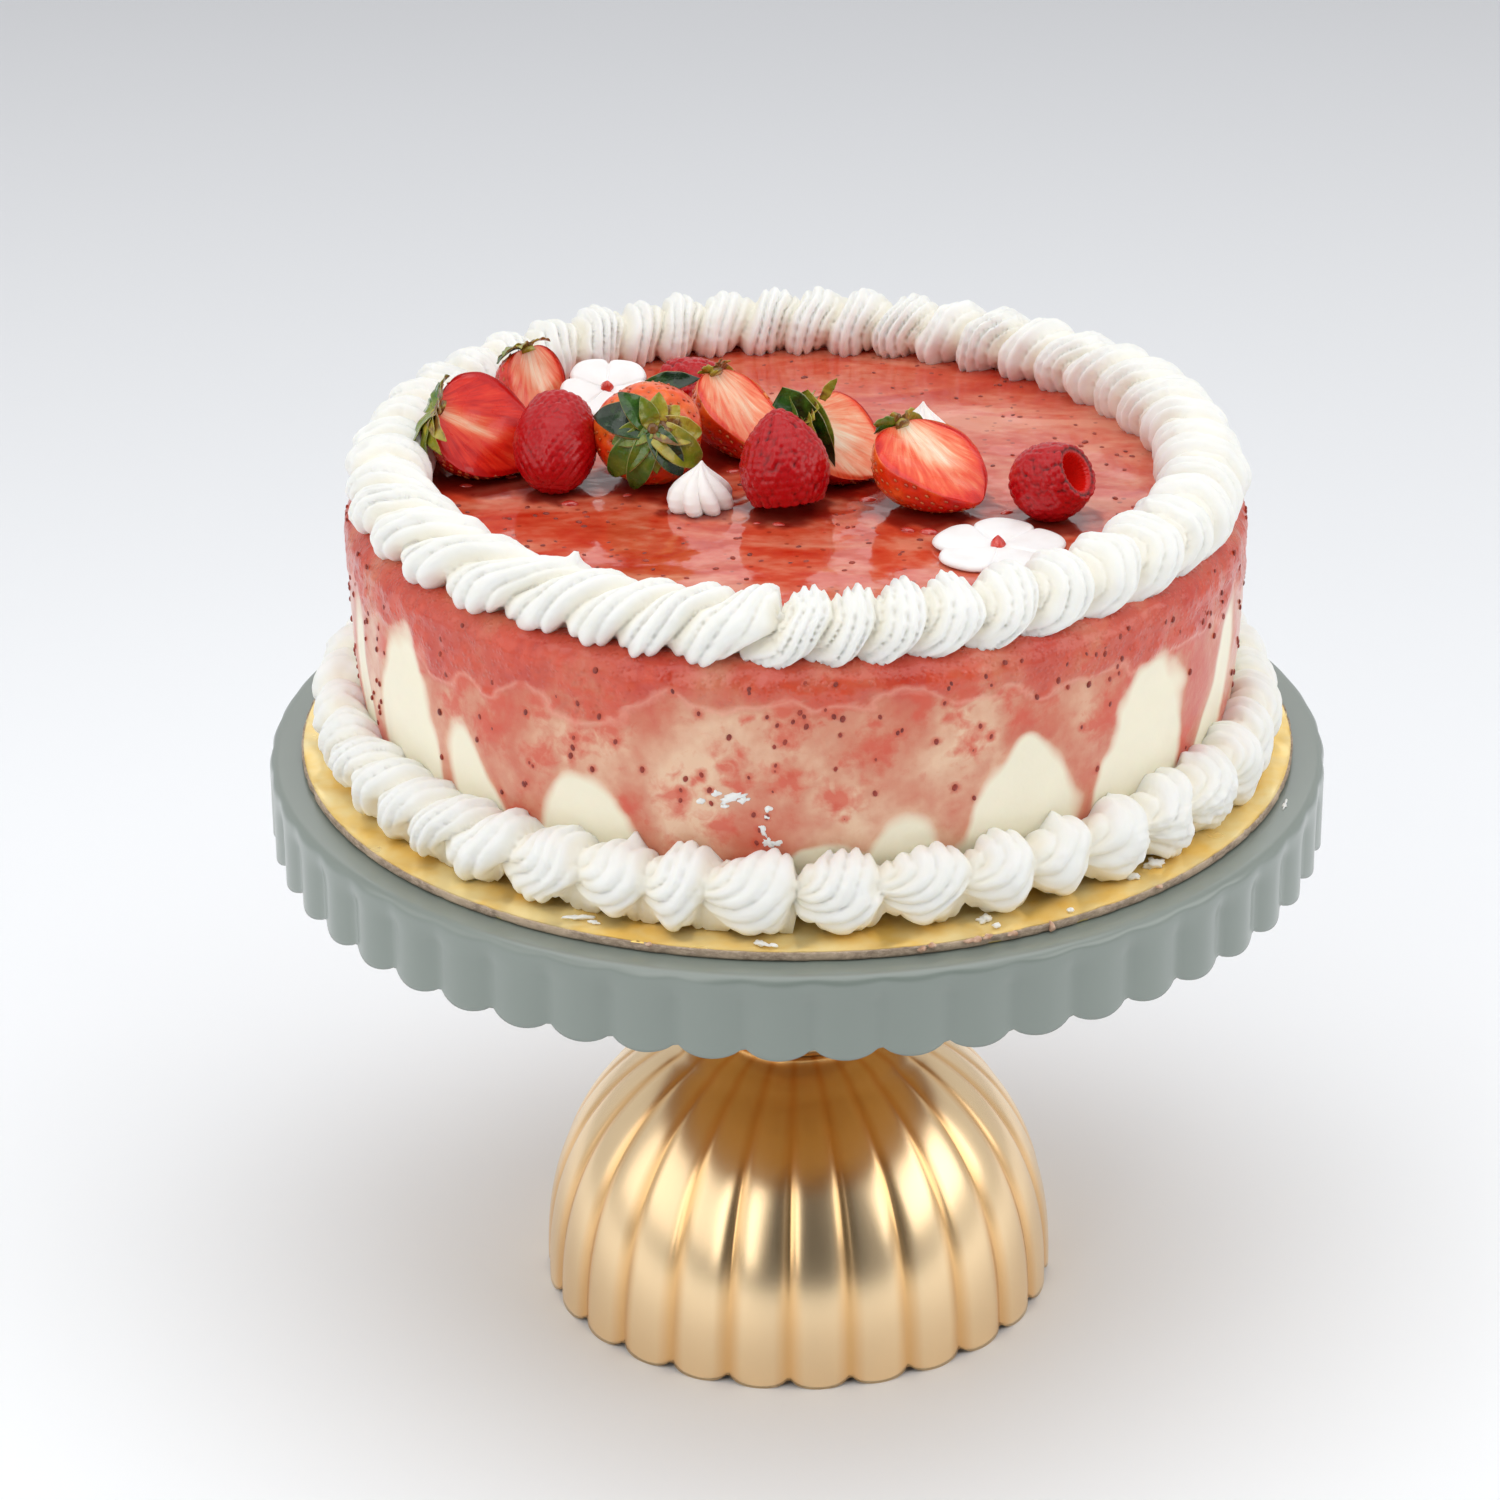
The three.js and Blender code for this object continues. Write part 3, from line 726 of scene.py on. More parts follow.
glazeSeeds = scatterOnSide(cakeLook["seeds"], 58, 0.25)
makeCakeSide(sideFinish(), glazeSeeds, scatterOnSide(cakeLook["pulps"], 59, 0.5))
makeCakeTop(topFinish())
makeGlazeSeeds(glazeSeeds, darkSeedFinish())
print("cake made")


# piped cream borders

topPiping = {
    "name": "piped_top_border", "middle": 122.3, "level": 7.0, "wide": 13.4, "tall": 11.2, "valley": 0.46,
    "round": 0.62, "footValley": 0.1, "ridge": 2.5, "sweep": 0.95, "fan": 0.25, "seed": 61,
    # angles of the valleys between piped turns, from the join once round, where the front shows them
    "front": [-92.0, -85.5, -79.6, -73.0, -65.3, -57.3, -48.3, -40.0, -30.6],
    "rope": [-176, -165.5, -156.0, -145.8, -134.8, -123.8, -116.0, -108.7, -101.4, -93.5],
    "ropeTurn": (186, 198, 256, 270), "pitch": 7.35, "torn": (0, 0, 0),
    # small drawn-out peaks: angle about the cake, angle about the piping, height
    "peaks": [(-122.7, 118, 4.0), (-85, 122, 1.6), (-69, 118, 2.2), (-47, 120, 1.8), (-28, 124, 2.0),
              (-150, 60, 1.2)],
}
bottomPiping = {
    "name": "piped_bottom_border", "middle": 139.0, "level": 11.6, "wide": 9.6, "tall": 12.6, "valley": 0.46,
    "round": 0.6, "footValley": 0.55, "ridge": 1.7, "sweep": 0.12, "fan": 0.95, "seed": 67,
    "front": [-90.1, -80.3, -70.0, -61.8, -53.6, -45.3, -36.0, -27.5],
    "rope": [-168.5, -160.2, -152.1, -145.3, -138.6, -131.2, -124.0, -115.6, -107.8, -100.1, -90.6],
    "ropeTurn": (190, 200, 222, 246), "pitch": 8.0, "torn": (-52, -26, 0.5),
    "peaks": [(-110, 112, 3.4), (-104, 104, 2.2), (-98.5, 118, 2.4), (-86, 112, 2.0), (-66, 116, 2.4),
              (-57, 110, 2.2), (-48, 112, 2.4), (-33, 108, 2.6)],
}
pipingLook = {"columns": 860, "teeth": 2.2, "inward": 0.4}


def turnsOf(piping):  # where each piped turn begins, once round from the join
    dice = np.random.default_rng(piping["seed"])
    front = piping["front"]
    rope = [angle + 360 for angle in piping["rope"]]
    gap = rope[0] - front[-1]
    count = round(gap / piping["pitch"])
    steps = piping["pitch"] * (1 + dice.uniform(-0.12, 0.12, count))
    between = front[-1] + np.cumsum(steps) * gap / steps.sum()
    return np.concatenate([front, between[:-1], rope])


def makePiping(piping, base, finish, node):
    turns = turnsOf(piping)
    turns[-1] = turns[0] + 360
    count = len(turns) - 1
    dice = np.random.default_rng(piping["seed"] + 1)
    columns = pipingLook["columns"]
    degrees = turns[0] + np.arange(columns) / columns * 360
    around = np.concatenate([np.linspace(-64, 244, 66), [262, 278]])  # about the piping: 0 outward, 90 up
    turn, tilt = np.meshgrid(degrees, around, indexing="ij")
    start, full, fade, stop = piping["ropeTurn"]
    rope = ease(start, full, turn % 360) * (1 - ease(fade, stop, turn % 360))
    low = np.clip((80 - tilt) / 125, 0, 1)
    shellLag = -piping["sweep"] * (1 - np.sqrt(1 - 0.96 * low ** 2))
    shellLag = shellLag + pipingLook["inward"] * ease(85, 200, tilt) * ease(-20, 30, turn)
    ropeLag = -0.75 + 1.45 * ease(-80, 200, tilt)
    lag = shellLag * (1 - rope) + ropeLag * rope
    place = np.interp(turn, turns, np.arange(count + 1)) - lag
    place = place + 0.05 * waves(np.stack([turn * 2.3, tilt * 0.3], -1), 30, piping["seed"] + 2)
    index = np.floor(place).astype(int) % count
    across = place - np.floor(place)
    lobe = np.sin(math.pi * across ** (1.5 - 0.25 * rope)) ** piping["round"]
    valley = piping["valley"] + 0.22 * np.exp(-(np.abs((place + count / 2) % count - count / 2) / 0.12) ** 2)
    valley = valley * dice.uniform(0.85, 1.15, count)[index]
    valley = valley * (1 + piping["footValley"] * ease(25, -35, tilt))
    size = dice.uniform(0.94, 1.06, count)[index]
    radians = np.radians(tilt)
    oval = 1 / np.sqrt((np.cos(radians) / piping["wide"]) ** 2 + (np.sin(radians) / piping["tall"]) ** 2)
    bands = dice.choice([3, 4, 4, 5], count)[index]
    fan = np.sqrt(across ** 2 + (piping["fan"] * np.clip((75 - tilt) / 125, 0, 1) * (1 - rope)) ** 2)
    band = bands * fan + dice.uniform(-0.2, 0.2, count)[index]
    crest = 0.72 * np.abs(np.sin(math.pi * band)) + 0.28 * (band % 1) * ease(1.0, 0.86, band % 1)
    within = ease(0.02, 0.14, across) * (1 - ease(0.92, 1.0, across))
    high = np.exp(-((tilt - 138) / 42) ** 2)
    ridge = piping["ridge"] * (crest ** 0.65 - 0.75) * within * (1 + 0.25 * rope)
    ridge = ridge * dice.uniform(0.75, 1.25, count)[index]
    teeth = pipingLook["teeth"] * high * (crest ** 1.6 - 0.35) * within * (1 - 0.75 * rope)
    teeth = teeth * dice.uniform(0.3, 1.2, count)[index]
    out = oval * (1 - valley * (1 - lobe)) * (1 + (size - 1) * lobe) + ridge + teeth
    for peakTurn, peakTilt, peakHeight in piping["peaks"]:
        off = np.hypot(wrapped(turn - peakTurn) * 2.2, (tilt - peakTilt) * 0.2)
        out = out + peakHeight * np.exp(-(off / 1.5) ** 1.3)
    flat = ringOf(125, tilt * 0.22, np.radians(turn))
    out = out + 0.30 * waves(flat, 12, piping["seed"] + 3) + 0.10 * waves(flat, 3.5, piping["seed"] + 4)
    first, last, tear = piping["torn"]
    if tear:
        ragged = ease(first, first + 6, turn) * (1 - ease(last - 6, last, turn)) * ease(70, 10, tilt)
        out = out + ragged * tear * (waves(flat, 2.6, 77) + 0.6 * waves(flat, 5.5, 78))
    radial = piping["middle"] + 0.35 * waves(flat[:, :1], 60, 79) + out * np.cos(radians)
    height = base + piping["level"] + out * np.sin(radians)
    if node == "border_bottom":
        height = np.maximum(height, base + 0.05)
    points = ringOf(radial, height, np.radians(turn)).reshape(-1, 3)
    rows = len(around)
    faces = gridFaces(columns + 1, rows) % (columns * rows)
    mesh = meshOf(piping["name"], points, faces)
    # crease marks the valleys between turns and ridges, which the finish paints with shade
    addValues(mesh, crease=(1 - lobe) * 0.7 + (1 - crest) * 0.3 * within)
    addPiece(piping["name"], mesh, finish, "cream", node)


def creamFinish():
    finish = newFinish("whippedCream", shade(250, 248, 243), 0.52, glow=0.2, glowScale=0.003,
                       glowReach=(1.0, 0.85, 0.6))
    cloud = grain(finish, 9, 3)
    body = rampOf(finish, cloud, (0.3, shade(238, 238, 233)), (0.7, shade(243, 243, 240)))
    # the valleys between piped turns and between ridges are painted a darker ivory: painted shade in the
    # creases
    crease = rampOf(finish, given(finish, "crease"), (0.25, 0.0), (0.95, 0.8))
    drive(finish, "Base Color", blendOf(finish, crease, body, shade(243, 234, 208)))
    drive(finish, "Roughness", rampOf(finish, cloud, (0.3, 0.46), (0.7, 0.6)))
    addBump(finish, grain(finish, 1.1, 3), 0.18, 0.12)
    return finish


cream = creamFinish()
makePiping(topPiping, cakeTop, cream, "border_top")
makePiping(bottomPiping, boardTop, cream, "border_bottom")
print("borders piped")


# flakes and smears of cream, and crumbs, that lie where the cake was worked

scraps = {
    # on the side of the cake: turn about the cake, height above the board, length, width
    "flakes": [(-101.5, 37.3, 1.0, 0.6), (-99.6, 40.2, 1.0, 0.7), (-98.6, 36.4, 1.1, 0.6),
               (-97.4, 39.4, 2.9, 0.9), (-96.3, 38.7, 1.6, 0.8), (-93.5, 33.4, 0.8, 0.6),
               (-93.4, 36.0, 0.7, 0.6), (-94.0, 28.6, 0.7, 2.0), (-93.4, 25.2, 1.5, 1.3),
               (-92.6, 24.9, 1.5, 0.7)],
    # on the board or plate: x, y, level, length, width, thickness
    "smears": [(-62.4, -130.8, 190.3, 3.4, 1.2, 0.5), (-58.0, -134.2, 190.3, 1.6, 0.8, 0.4),
               (-10.5, -147.4, 190.3, 2.4, 1.5, 0.5), (-7.0, -148.6, 190.3, 1.2, 0.7, 0.4),
               (53.7, -132.5, 190.4, 2.2, 1.8, 0.9), (56.5, -137.0, 190.4, 1.5, 1.1, 0.6),
               (78.0, -127.0, 190.3, 1.3, 0.8, 0.5), (146.1, -51.9, 186.9, 2.6, 0.6, 0.35),
               (104.0, -98.0, 190.4, 3.0, 1.6, 1.2), (97.0, -106.5, 190.4, 2.2, 1.4, 1.0)],
    # on the cut edge of the board: turn about the board, level, length, height
    "crumbs": [(-76.6, 188.9, 1.6, 0.8), (-75.5, 189.6, 1.0, 0.6), (-70.9, 189.4, 2.6, 0.9),
               (-69.4, 189.9, 1.6, 0.7), (-66.4, 189.2, 1.2, 0.8), (-61.7, 188.4, 0.9, 1.3),
               (-47.0, 189.8, 0.8, 0.6), (-106.0, 189.6, 0.9, 0.5)],
}


def crumbFinish():
    finish = newFinish("caramelCrumb", shade(196, 156, 128), 0.6)
    cloud = grain(finish, 2, 3)
    mottle(finish, cloud, (shade(176, 128, 98), shade(216, 184, 160)), (0.45, 0.7))
    addBump(finish, cloud, 0.5, 0.3)
    return finish


def tangentAt(turn, rise):  # a direction along a rim, tipped up by rise
    return np.stack([-np.sin(turn), np.cos(turn), rise + 0 * turn], -1)


def makeScraps(name, middles, along, normal, sizes, finish, seed):
    rings, sides = 9, 14
    points, quads, caps = blobsOf(middles, along, normal, sizes, rings, sides)
    centre = np.repeat(middles, rings * sides + 2, 0)
    rough = 1 + 0.32 * waves(points, 1.9, seed) + 0.18 * waves(points, 0.9, seed + 1)
    points = centre + (points - centre) * rough[:, None]
    addPiece(name, meshOf(name, points, quads, caps), finish, "cream")


def makeAllScraps():
    flakes, smears, crumbs = (np.array(scraps[key]) for key in ("flakes", "smears", "crumbs"))
    dice = np.random.default_rng(64)
    turn = np.radians(flakes[:, 0])
    sideways = unitOf(tangentAt(turn, 0.35))
    middles = ringOf(cakeRadiusAt(flakes[:, 1]) + 0.25, cakeFoot + flakes[:, 1], turn)
    sizes = np.stack([1.2 * flakes[:, 2], 1.3 * flakes[:, 3], 0.5 + 0 * turn], -1)
    lying = np.tile([0.0, 0.0, 1.0], (len(smears), 1))
    smearTurn = np.arctan2(smears[:, 1], smears[:, 0]) + dice.uniform(-0.5, 0.5, len(smears))
    makeScraps("cream_scraps", np.concatenate([middles, smears[:, :3] + [0, 0, 0.1]]),
               np.concatenate([sideways, tangentAt(smearTurn, 0)]),
               np.concatenate([ringOf(1.0, 0.0, turn), lying]),
               np.concatenate([sizes, smears[:, 3:]]), cream, 65)
    crumbTurn = np.radians(crumbs[:, 0])
    crumbSizes = np.stack([crumbs[:, 2], crumbs[:, 3], 0.9 + 0 * crumbTurn], -1)
    makeScraps("cake_crumbs", ringOf(boardRadius + 0.1, crumbs[:, 1], crumbTurn), tangentAt(crumbTurn, 0),
               ringOf(1.0, 0.0, crumbTurn), crumbSizes, crumbFinish(), 66)


makeAllScraps()
print("scraps laid")


# drops of clear red jelly, run off the fruit onto the cake: x, y, half width
jellyDrops = [(-99.7, 0.1, 1.5), (-86.4, 7.2, 1.3), (-71.1, -3.4, 1.2), (-67.8, -14.2, 1.8),
              (-50.7, -8.0, 1.2), (-18.9, 11.1, 1.6), (-5.1, -31.0, 1.4), (-11.5, -30.0, 0.9),
              (21.6, -12.5, 2.0), (33.0, -35.5, 1.5), (39.4, -37.2, 2.0), (54.5, -34.8, 1.2),
              (62.9, -22.6, 1.6), (86.3, -37.9, 1.0), (-34.0, -6.5, 1.1)]


def makeDrops():
    finish = newFinish("clearJelly", shade(196, 44, 34), 0.04, coat=0.8, coatRoughness=0.02, glow=0.2,
                       glowScale=0.001)
    cloud = grain(finish, 3, 2)
    mottle(finish, cloud, (shade(176, 30, 24), shade(214, 74, 58)), (0.03, 0.1))
    addBump(finish, cloud, 0.15, 0.2)
    drops = np.array(jellyDrops)
    count = len(drops)
    middles = np.stack([drops[:, 0], drops[:, 1], np.full(count, cakeTop + 0.05)], -1)
    dice = np.random.default_rng(68)
    along = ringOf(1.0, 0.0, dice.uniform(-0.5, 0.5, count))
    sizes = drops[:, 2:] * [1.5, 0.85, 0.7]
    points, quads, caps = blobsOf(middles, along, np.tile([0.0, 0.0, 1.0], (count, 1)), sizes, 9, 16)
    addPiece("jelly_drops", meshOf("jellyDrops", points, quads, caps), finish, "glaze")


makeDrops()
print("drops laid")


# strawberries, halved and whole, in a jelly glaze

strawberryLook = {
    "rows": 76, "skinColumns": 78, "cutColumns": 44, "seedSpacing": 3.3, "dimple": 0.26, "sink": 0.05,
    "goldenTurn": 2.39996, "hub": 2.6, "seed": shade(222, 128, 56),
}

# place is the middle in plan, stem and face are directions, size is length and width,
# ripe and pale are 0 to 1, and sepals are turn about the stem in degrees, length, width, lift at the tip,
# tone from dark green 0 to olive 1
strawberries = {
    "strawberry_left": {
        "place": (-92, 10), "stem": (-0.85, -0.15, 0.48), "face": (0.36, -0.6, 0.7), "size": (36, 35),
        "ripe": 0.95, "pale": 0.15, "core": 0.56, "coreWidth": 0.2, "coreAside": -0.1, "seed": 71,
        "sepals": [(268, 16, 7, 1.0, 0.7), (288, 15, 6.5, 1.4, 0.85), (248, 16, 7, 3.0, 0.55),
                   (226, 15, 6, 7.5, 0.4), (96, 13, 6.5, 1.0, 0.35), (115, 12, 6, 2.0, 0.2),
                   (312, 8, 6, 1.2, 0.95), (60, 6, 5, 0.8, 0.9), (0, 5, 6, 0.9, 1.0), (150, 12, 6, 2.0, 0.4)],
    },
    "strawberry_back": {
        "place": (-79, 47), "stem": (-0.3, 0.3, 0.9), "face": (0.75, -0.6, 0.25), "size": (27, 25),
        "ripe": 0.9, "pale": 0.52, "core": 0.3, "coreWidth": 0.4, "coreAside": 0.1, "seed": 72,
        "sepals": [(270, 10, 4.5, 3.5, 0.55), (240, 10, 5, 1.0, 0.15), (300, 9, 4, 3.0, 0.8),
                   (90, 10, 4, 3.0, 0.9), (20, 4, 3.5, 1.0, 0.9), (200, 10, 5, 1.0, 0.3)],
    },
    "strawberry_leafy": {
        "place": (-45, 8), "stem": (0.12, -0.8, 0.42), "face": (0, 0, 1), "size": (33, 32), "whole": True,
        "ripe": 0.54, "pale": 0.3, "core": 0, "coreWidth": 0.4, "coreAside": 0, "seed": 73,
        "sepals": [(66, 17, 11, 2.6, -0.1), (34, 12, 8.5, 4.2, 0.1), (100, 12, 7.5, 1.0, 0.45),
                   (128, 21, 9.5, 0.7, 0.3), (154, 21, 8, 0.9, 0.22), (176, 13, 5.5, 0.7, 0.5),
                   (204, 16, 8.5, 1.5, -0.05), (228, 19, 10.5, 1.8, 0.6), (258, 15, 9, 1.0, 0.8),
                   (300, 9, 8, 2.0, 0.85), (340, 9, 7, 3.0, 0.7), (12, 8, 6, 3.5, 0.5)],
    },
    "strawberry_middle": {
        "place": (-15, 25), "stem": (-0.57, 0.57, 0.59), "face": (0.53, -0.29, 0.8), "size": (34.5, 30),
        "ripe": 0.46, "pale": 0.54, "core": 0.22, "coreWidth": 0.5, "coreAside": 0.1, "seed": 74,
        "sepals": [(280, 6, 3, 0.6, 0.7), (90, 9, 3, 0.8, 0.85), (60, 6, 3, 0.5, 0.95), (250, 5, 3, 1.0, 0.6),
                   (10, 4, 3, 0.4, 1.0)],
    },
    "strawberry_fan": {
        "place": (16, 4), "stem": (-0.8, -0.05, 0.58), "face": (0.3, -0.5, 0.78), "size": (30, 31),
        "ripe": 0.85, "pale": 0.66, "core": 0.3, "coreWidth": 0.35, "coreAside": -0.15, "seed": 75,
        "sepals": [(270, 20, 6.5, 0.8, 0.2), (290, 15, 8, 1.2, 0.7), (312, 9, 7, 1.2, 0.95),
                   (238, 15, 8.5, 7.5, 0.0), (262, 14, 8, 3.0, 0.15), (85, 9, 5, 1.4, 0.6),
                   (20, 6, 6, 1.0, 0.95), (335, 8, 7, 1.0, 0.9), (215, 12, 7, 5.0, 0.1)],
    },
    "strawberry_right": {
        "place": (42.5, -19.5), "stem": (-0.6, 0.66, 0.4), "face": (0.28, -0.26, 0.92), "size": (36.5, 35),
        "ripe": 0.5, "pale": 0.4, "core": 0.5, "coreWidth": 0.42, "coreAside": 0.16, "seed": 76,
        "sepals": [(275, 10, 4.5, 2.2, 0.35), (255, 9, 4.5, 1.0, 0.1), (95, 10, 5, 1.8, 0.6),
                   (60, 6, 4.5, 1.2, 0.85), (310, 5, 4, 1.0, 0.95), (110, 9, 4, 1.2, 0.5)],
    },
}


def turnedTo(stem, facing):  # local axes as columns: the facing side, across, and along the stem
    along = unitOf(stem)
    across = unitOf(np.cross(along, facing))
    return np.stack([np.cross(across, along), across, along], 1)


def fruitRadius(share, width):
    return width / 2 * np.sin(math.pi * (0.06 + 0.92 * (1 - share) ** 0.72)) ** 0.7


def outlineOf(length, width):  # radius and height from the stem pole down to the tip, and the distance walked
    share = 1 - np.linspace(0, 1, 260) ** 1.6
    radius = fruitRadius(share, width)
    height = (share - 0.5) * length
    radius = np.concatenate([[0, radius[0] * 0.6, radius[0] * 0.9], radius, [radius[-1] * 0.6, 0]])
    height = np.concatenate([[length / 2 - 0.7, length / 2 - 0.3, length / 2 + 0.1], height,
                             [-length / 2 - 0.35, -length / 2 - 0.5]])
    walked = np.concatenate([[0], np.cumsum(np.hypot(np.diff(radius), np.diff(height)))])
    return radius, height, walked


def spreadSeeds(fruit, dice):  # seed places on the skin as (turn, walked distance)
    length, width = fruit["size"]
    radius, _, walked = outlineOf(length, width)
    area = np.concatenate([[0], np.cumsum((radius[1:] + radius[:-1]) * np.diff(walked) * math.pi)])
    count = int(area[-1] / strawberryLook["seedSpacing"] ** 2)
    index = np.arange(count) + 0.5
    turn = index * strawberryLook["goldenTurn"] + dice.normal(0, 0.05, count)
    distance = np.interp(index / count * area[-1], area, walked)
    keep = (distance > walked[-1] * 0.1) & (distance < walked[-1] * 0.985)
    if not fruit.get("whole"):
        keep &= np.cos(turn) * np.interp(distance, walked, radius) < -0.9
    return turn[keep], distance[keep]


def unevenOf(turn, dice, strength):  # a slightly out-of-round section
    return 1 + strength * np.cos(2 * turn + dice.uniform(0, 6)) + 0.02 * np.cos(3 * turn + dice.uniform(0, 6))


def cutFace(fruit, skin, rowHeight):  # the flat side of a halved strawberry, and what its finish reads
    look = strawberryLook
    length, width = fruit["size"]
    across = np.sin(np.linspace(-1, 1, look["cutColumns"]) * math.pi / 2)
    half = np.where(across > 0, skin[:, :1, 1], -skin[:, -1:, 1])
    flat = np.stack([0 * half, half * across * 0.985, rowHeight[:, None] + 0 * across], -1)
    share = (rowHeight / length + 0.5)[:, None]
    core = np.exp(-((across - fruit["coreAside"]) / fruit["coreWidth"]) ** 2)[None, :]
    core = core * ease(0.18, 0.62, share + 0 * across)
    rim = np.maximum(ease(0.74, 0.99, np.abs(across))[None, :], 1 - ease(0.04, 0.22, share))
    pale = fruit["pale"] + fruit["core"] * core - 0.30 * rim + 0.05 * waves(flat, 11, 80)
    sunk = 0.5 * core + 0.55 * ease(0.86, 1, np.abs(across))[None, :]
    flat[..., 0] += 0.25 * waves(flat, 12, fruit["seed"] + 5) - sunk
    aside, down = flat[..., 1] - fruit["coreAside"] * width / 2, length * 0.62 - flat[..., 2]
    flatOf = np.ones(flat.shape[:2])
    return flat, {"cut": flatOf, "ripe": (fruit["ripe"] + 0.3) * flatOf, "pale": pale,
                  "ray": np.arctan2(aside, down), "reach": np.hypot(aside, down) / 10, "dent": 0 * flatOf}


def makeStrawberry(name, fruit, finish, seedParts, leafParts):
    look = strawberryLook
    dice = np.random.default_rng(fruit["seed"])
    length, width = fruit["size"]
    radius, height, walked = outlineOf(length, width)
    whole = fruit.get("whole")
    walk = np.linspace(0.25, walked[-1] - 0.25, look["rows"])
    rowRadius = np.interp(walk, walked, radius)
    rowHeight = np.interp(walk, walked, height)
    turn = np.linspace(math.pi / 2, 1.5 * math.pi, look["skinColumns"])
    if whole:
        turn = stepsRound(2 * look["skinColumns"])
    uneven = unevenOf(turn, dice, 0.025)
    skin = ringOf(rowRadius[:, None] * uneven, rowHeight[:, None], turn)
    normal = unitOf(ringOf(1.0, 0.35 * (rowHeight / length * 2)[:, None], turn))
    seedTurn, seedWalk = spreadSeeds(fruit, dice)
    seedUneven = np.interp(seedTurn % fullTurn, turn, uneven, period=fullTurn if whole else None)
    seedRadius = np.interp(seedWalk, walked, radius) * seedUneven
    seeds = ringOf(seedRadius, np.interp(seedWalk, walked, height), seedTurn)
    gap = np.linalg.norm(skin.reshape(-1, 1, 3) - seeds[None], axis=-1).min(1).reshape(skin.shape[:2])
    dent = np.exp(-(gap / 0.95) ** 2)
    skin = skin - normal * (look["dimple"] * dent - 0.12 * ease(0.9, 1.9, gap))[..., None]
    skin += normal * (0.22 * waves(skin, 13, fruit["seed"]))[..., None]
    ripeness = 0.55 * (0.55 - (skin[..., 2] / length + 0.5)) + 0.10 * waves(skin, 16, fruit["seed"] + 3)
    grid = skin
    values = {key: np.zeros(skin.shape[:2]) for key in ("cut", "pale", "ray", "reach")}
    # dent shapes the dimples, and also tells the finish where to paint shade in them
    values.update(ripe=fruit["ripe"] + ripeness, dent=dent)
    corners = {key: [numbers.flat[0], numbers.flat[-1]] for key, numbers in values.items()}
    if not whole:
        flat, flatValues = cutFace(fruit, skin, rowHeight)
        grid = np.concatenate([skin, flat], 1)
        values = {key: np.concatenate([numbers, flatValues[key]], 1) for key, numbers in values.items()}
    around = grid.shape[1]
    inset = 0 if whole else -0.2
    axes = turnedTo(fruit["stem"], fruit["face"])
    turned = np.concatenate([grid.reshape(-1, 3), [[inset, 0, height[0]], [inset, 0, height[-1]]]]) @ axes.T
    offset = np.array([*fruit["place"], cakeTop - look["sink"] - turned[:, 2].min()])
    mesh = closedMesh(name, turned + offset, around, flip=True)
    for key, numbers in values.items():
        addValues(mesh, **{key: np.concatenate([numbers.ravel(), corners[key]])})
    seedNormal = unitOf(seeds * [1, 1, 0.35] * [1 / width, 1 / width, 1 / length])
    seedAlong = unitOf(np.cross(np.cross(seedNormal, [0, 0, 1]), seedNormal))
    sizes = np.array([0.78, 0.46, 0.34]) * dice.uniform(0.85, 1.15, (len(seeds), 1))
    middles = seeds - seedNormal * (look["dimple"] * 0.75)
    seedParts.append((middles @ axes.T + offset, seedAlong @ axes.T, seedNormal @ axes.T, sizes))
    for sepal in fruit["sepals"]:
        path, normals = sepalPath(sepal, radius, height, walked)
        cup = dice.uniform(0.15, 0.4)
        leafParts.append((path @ axes.T + offset, normals @ axes.T, sepal[2], sepal[4], cup))
    stalk = np.array([[0, 0, height[0] - 0.2]]) + [[0, 0, -0.3], [0, 0, 1.4], [0, 0, 2.0]]
    leafParts.append((stalk @ axes.T + offset, None, look["hub"], 0.95, 0))
    addPiece(name + "_fruit", mesh, finish, "strawberry", name)


def sepalPath(sepal, radius, height, walked):  # a line over the skin that lifts towards its tip
    degrees, long, _, lift, _ = sepal
    share = np.linspace(0, 1, 12)
    walk = 0.6 + share * long
    turn = math.radians(degrees) + 0.12 * share
    r, z = np.interp(walk, walked, radius), np.interp(walk, walked, height)
    ahead = 0.4
    slope = np.stack([np.interp(walk + ahead, walked, radius) - np.interp(walk - ahead, walked, radius),
                      np.interp(walk + ahead, walked, height) - np.interp(walk - ahead, walked, height)], -1)
    slope = unitOf(slope)
    out = np.stack([-slope[:, 1], slope[:, 0]], -1)
    raised = 0.75 + lift * share ** 1.7
    r, z = r + out[:, 0] * raised, z + out[:, 1] * raised
    return ringOf(r, z, turn), ringOf(out[:, 0], out[:, 1], turn)


